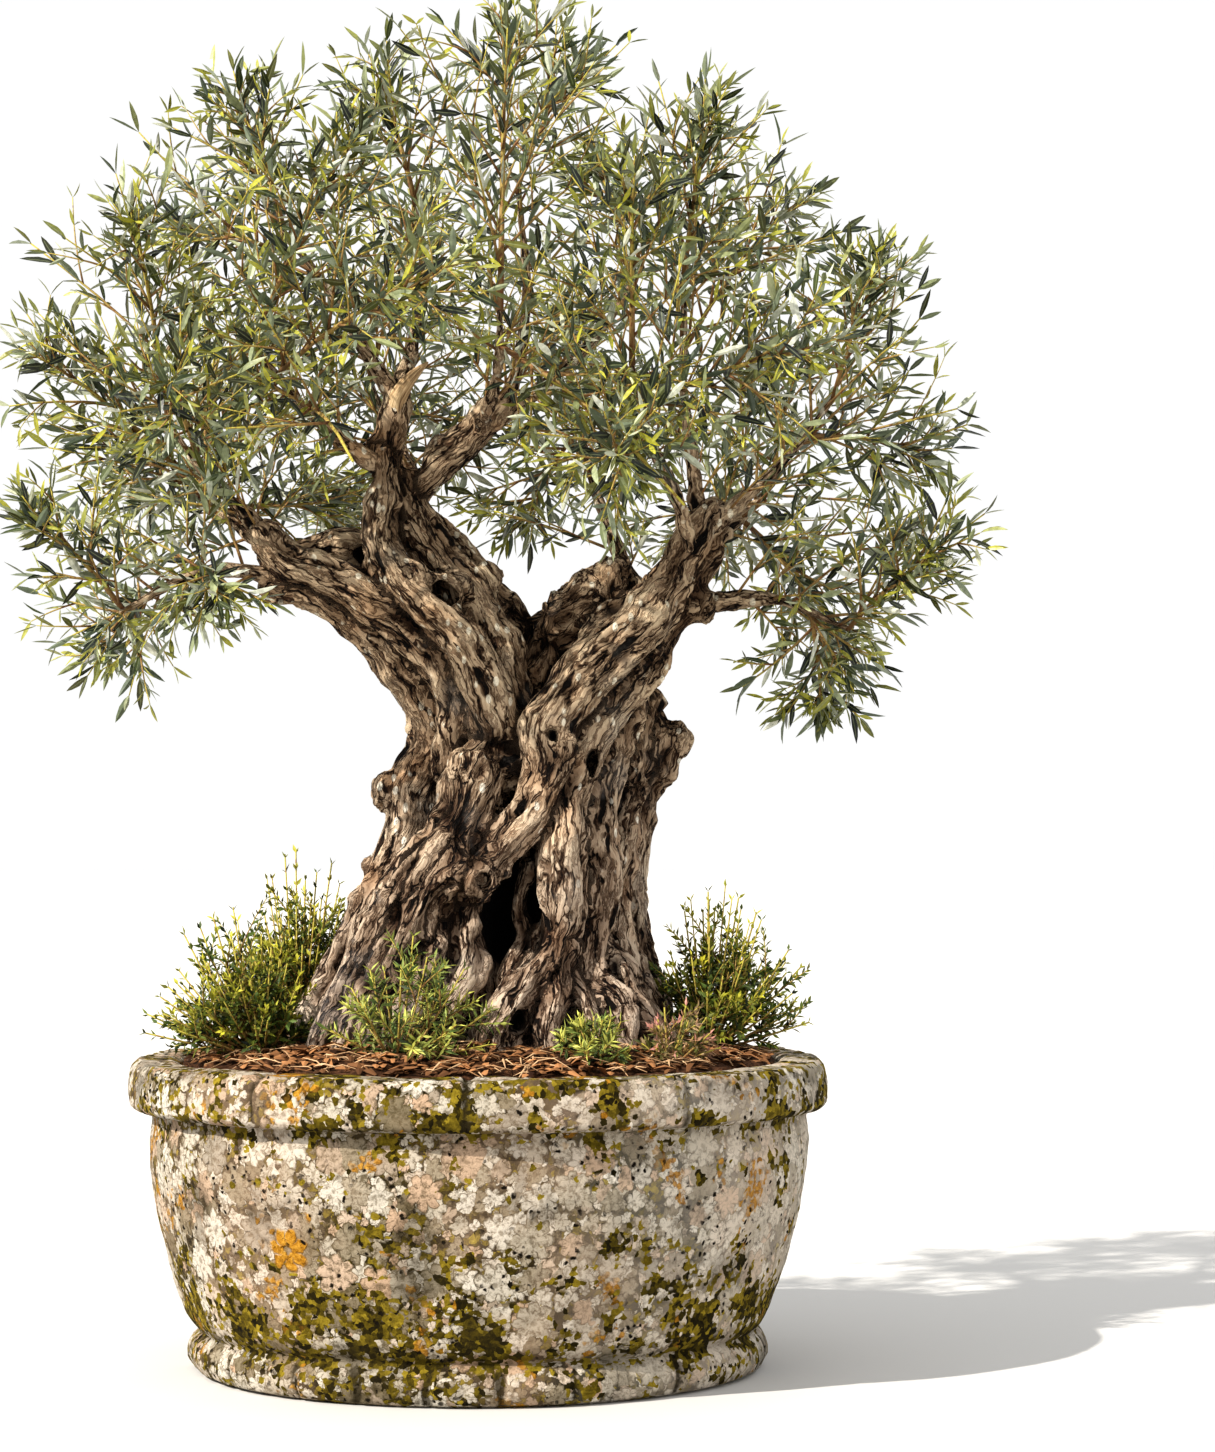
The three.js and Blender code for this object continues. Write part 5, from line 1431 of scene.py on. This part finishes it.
def make_bough_shoots():
    """Short leafy shoots straight from the boughs, which fill the crown's middle. Each is turned round its
    bough by the golden angle from the last. Gives the number of their leaves."""
    rng = np.random.default_rng(77)
    rows = [smooth_at(path, np.linspace(0.2, 0.95, SHOOTS_A_BOUGH)) for path in BOUGHS]
    start = np.concatenate([points for points, _, _ in rows])
    along = np.concatenate([directions for _, _, directions in rows])
    count = len(start)
    length = rng.uniform(0.055, 0.100, count)
    leave = branch_off(along, np.arange(count) * GOLDEN_ANGLE, rng.uniform(0.7, 1.1, count))
    end = start + leave * length[:, None]
    end[:, 2] += 0.15 * length
    shoots = np.stack([start, (start + end) / 2 + (0, 0, 0.004), end], axis=1)
    small = side_shoots(np.repeat(shoots, 2, axis=0), np.tile([0.3, 0.6], count),
                        rng.uniform(0, FULL_TURN, 2 * count), 0.75, np.repeat(length, 2) * 0.5)
    groups = [leaves_on(shoots, 5, 0.3, rng), leaves_on(small, 3, 0.36, rng, 0.68, 0.5)]
    leaves = [np.concatenate(v) for v in zip(*groups)]
    keep = clear_of_limbs(leaves[0])
    leaves = [v[keep] for v in leaves]
    thick = np.repeat([0.0013, SMALL_R], [count, 2 * count])
    shoots = np.concatenate([shoots, small])
    keep = clear_of_limbs(shoots[:, 2]) & clear_of_limbs(shoots[:, 1])
    seat(in_leaf("bough_shoots", shoots[keep], thick[keep], leaves, 0.2, (0.45, 0.32), rng), "olive_leaf")
    return len(leaves[0])


print("leaves on the boughs' own shoots", make_bough_shoots())
print("leaves", sum(make_spray(curve, i) for i, curve in enumerate(CURVES)))

# %% [markdown]
# Herbs have grown up in the mulch. Two bushes stand at the left and one at the right, with small dark leaves
# and yellow-green tips. Two fresher ones and a pinkish one grow in front. They grow by the same functions,
# with many stems from one foot and small needles all along them.

# %% Herb leaves


def herb_leaf(name, dark, light, tip):
    """Small leathery leaves: dull, dark below and lighter at the growing tips."""
    material, add = new_material(name, 0.6, 0.35)
    tint, youth = (add("Attribute", attribute_name=value, out="Fac") for value in ("tint", "youth"))
    blade = add("ValToRGB", tint, stops=[(0.0, dark), (1.0, light)])
    return coat(material, add("Mix RGBA", youth, blade, tip))


HERB_LEAVES = {
    "bush": herb_leaf("herb_leaf_dark", "#0b160c", "#566b2c", "#c6c13f"),
    "fresh": herb_leaf("herb_leaf_fresh", "#0a1408", "#6f8544", "#dfdf72"),
    "pink": herb_leaf("herb_leaf_pink", "#3d4a22", "#8a8a4a", "#c98e84"),
}
print("herb leaves", [material.name for material in HERB_LEAVES.values()])

# %% The herbs
# Foot and lean (x, y), height and spread in mm, start of the random draws, number of stems, and kind
HERBS = {
    "herb_left_back": ((-138, 58), (2, 18), 150, 64, 3, 58, "bush"),
    "herb_left_front": ((-160, -52), (-22, -6), 104, 66, 5, 58, "bush"),
    "herb_front": ((-58, -136), (12, -6), 84, 62, 8, 21, "fresh"),
    "herb_front_small": ((80, -156), (0, -4), 42, 30, 11, 14, "fresh"),
    "herb_front_right": ((136, -122), (6, -4), 44, 32, 13, 14, "pink"),
    "herb_right": ((172, 10), (14, -6), 122, 66, 17, 58, "bush"),
    "herb_back": ((34, 152), (0, 8), 82, 46, 19, 22, "bush"),
}
# Needle length and width and the step between pairs in metres, and how much needles lean from the stem
NEEDLES = {
    "bush": (0.0092, 0.0034, 0.0052, 0.9),
    "fresh": (0.0124, 0.0027, 0.0046, 1.1),
    "pink": (0.0090, 0.0026, 0.0050, 0.8),
}
NEEDLE_ROWS = [(0.45, 1.0)]
NEEDLE_THICK, NEEDLE_BEND = 0.0005, 0.08
LOWEST_NEEDLE_Z = 0.228
STEM_R, SIDE_STEM_R = 0.0011, 0.0007


def herb_stems(at, lean, height, spread, seed, count, rng):
    """Stems from one foot to tips spread over a dome: a square-root spiral gives them even room."""
    k = np.arange(count)
    turn = k * GOLDEN_ANGLE + seed
    share = np.sqrt((k + 0.5) / count)
    rise = height * (1 - 0.78 * share**2) * rng.uniform(0.55, 1.08, count)
    foot = np.array([at[0], at[1], soil_height(at[0] * MM, at[1] * MM) / MM])
    out_x, out_y = share * np.cos(turn), share * np.sin(turn)
    tip = foot + np.stack([lean[0] + spread * out_x, lean[1] + spread * out_y, rise], axis=1)
    start = foot + np.stack([6 * out_x, 6 * out_y, np.full(count, -4.0)], axis=1)
    middle = foot + (tip - foot) * (0.55, 0.55, 0.38)
    return np.stack([start, middle, tip], axis=1) * MM


def make_herb(name, at, lean, height, spread, seed, count, kind):
    """Stems, side stems and their needles in one mesh."""
    rng = np.random.default_rng(200 + seed)
    long, wide, step, open_angle = NEEDLES[kind]
    stems = herb_stems(at, lean, height, spread, seed, count, rng)
    reach = np.linalg.norm(stems[:, 2] - stems[:, 0], axis=1)
    sides = side_shoots(
        np.repeat(stems, 2, axis=0), rng.uniform(0.35, 0.75, 2 * count), rng.uniform(0, FULL_TURN, 2 * count),
        0.7, np.repeat(reach, 2) * rng.uniform(0.2, 0.4, 2 * count))
    shoots = np.concatenate([stems, sides])
    length = np.linalg.norm(shoots[:, 2] - shoots[:, 0], axis=1)
    pairs = int(np.median(length) / step) + 4
    share = np.linspace(0.12, 1.0, pairs) ** 0.85 + rng.uniform(-0.02, 0, (len(shoots), pairs))
    foot, along, share, turn = leaf_pairs(shoots, share, rng)
    direction = branch_off(along, turn, open_angle * (1.15 - 0.5 * share) + rng.normal(0, 0.15, share.shape))
    up = unit(rng.normal(0, 0.5, direction.shape) + along)
    size = long * rng.uniform(0.7, 1.2, share.shape) * (1.1 - 0.4 * share)
    # Most stems stay dark to the tip, and some are yellow-green for most of their length
    fresh = rng.uniform(0, 1, (len(shoots), 1)) ** (2.0 if kind == "bush" else 1.3)
    youth = np.clip(share**1.5 * 1.1 * fresh + rng.normal(0, 0.10, share.shape), 0, 1)
    tint = np.clip(rng.normal(0.45, 0.33, share.shape), 0, 1)
    keep = foot[..., 2] > LOWEST_NEEDLE_Z
    foot, direction, up, size, tint, youth = (v[keep] for v in (foot, direction, up, size, tint, youth))
    shape = leaf_mesh(foot, direction, up, size, size * wide / long, NEEDLE_THICK, NEEDLE_BEND, NEEDLE_ROWS)
    twigs = twig_mesh(shoots, np.repeat([STEM_R, SIDE_STEM_R], [count, 2 * count]), 0.5, steps=4)
    materials = [HERB_LEAVES[kind], TWIG]
    seat(leafy_piece(name + "_in_leaf", twigs, shape, tint, youth, materials), "herb", name)
    return len(foot)


print("needles", {name: make_herb(name, *values) for name, values in HERBS.items()})

# %% [markdown]
# The floor is a plain pale sheet.

# %% The floor


def add_floor():
    """A pale floor, wider than the view."""
    corners = np.array([(-30, -30, 0), (30, -30, 0), (30, 30, 0), (-30, 30, 0)], float)
    material, _ = new_material("pale_floor", 0.9, 0.2)
    material.node_tree.nodes["Principled BSDF"].inputs["Base Color"].default_value = linear("#d0cfcd")
    make_piece("floor", corners, [(0, 1, 2, 3)], materials=[material], smooth=False)


add_floor()
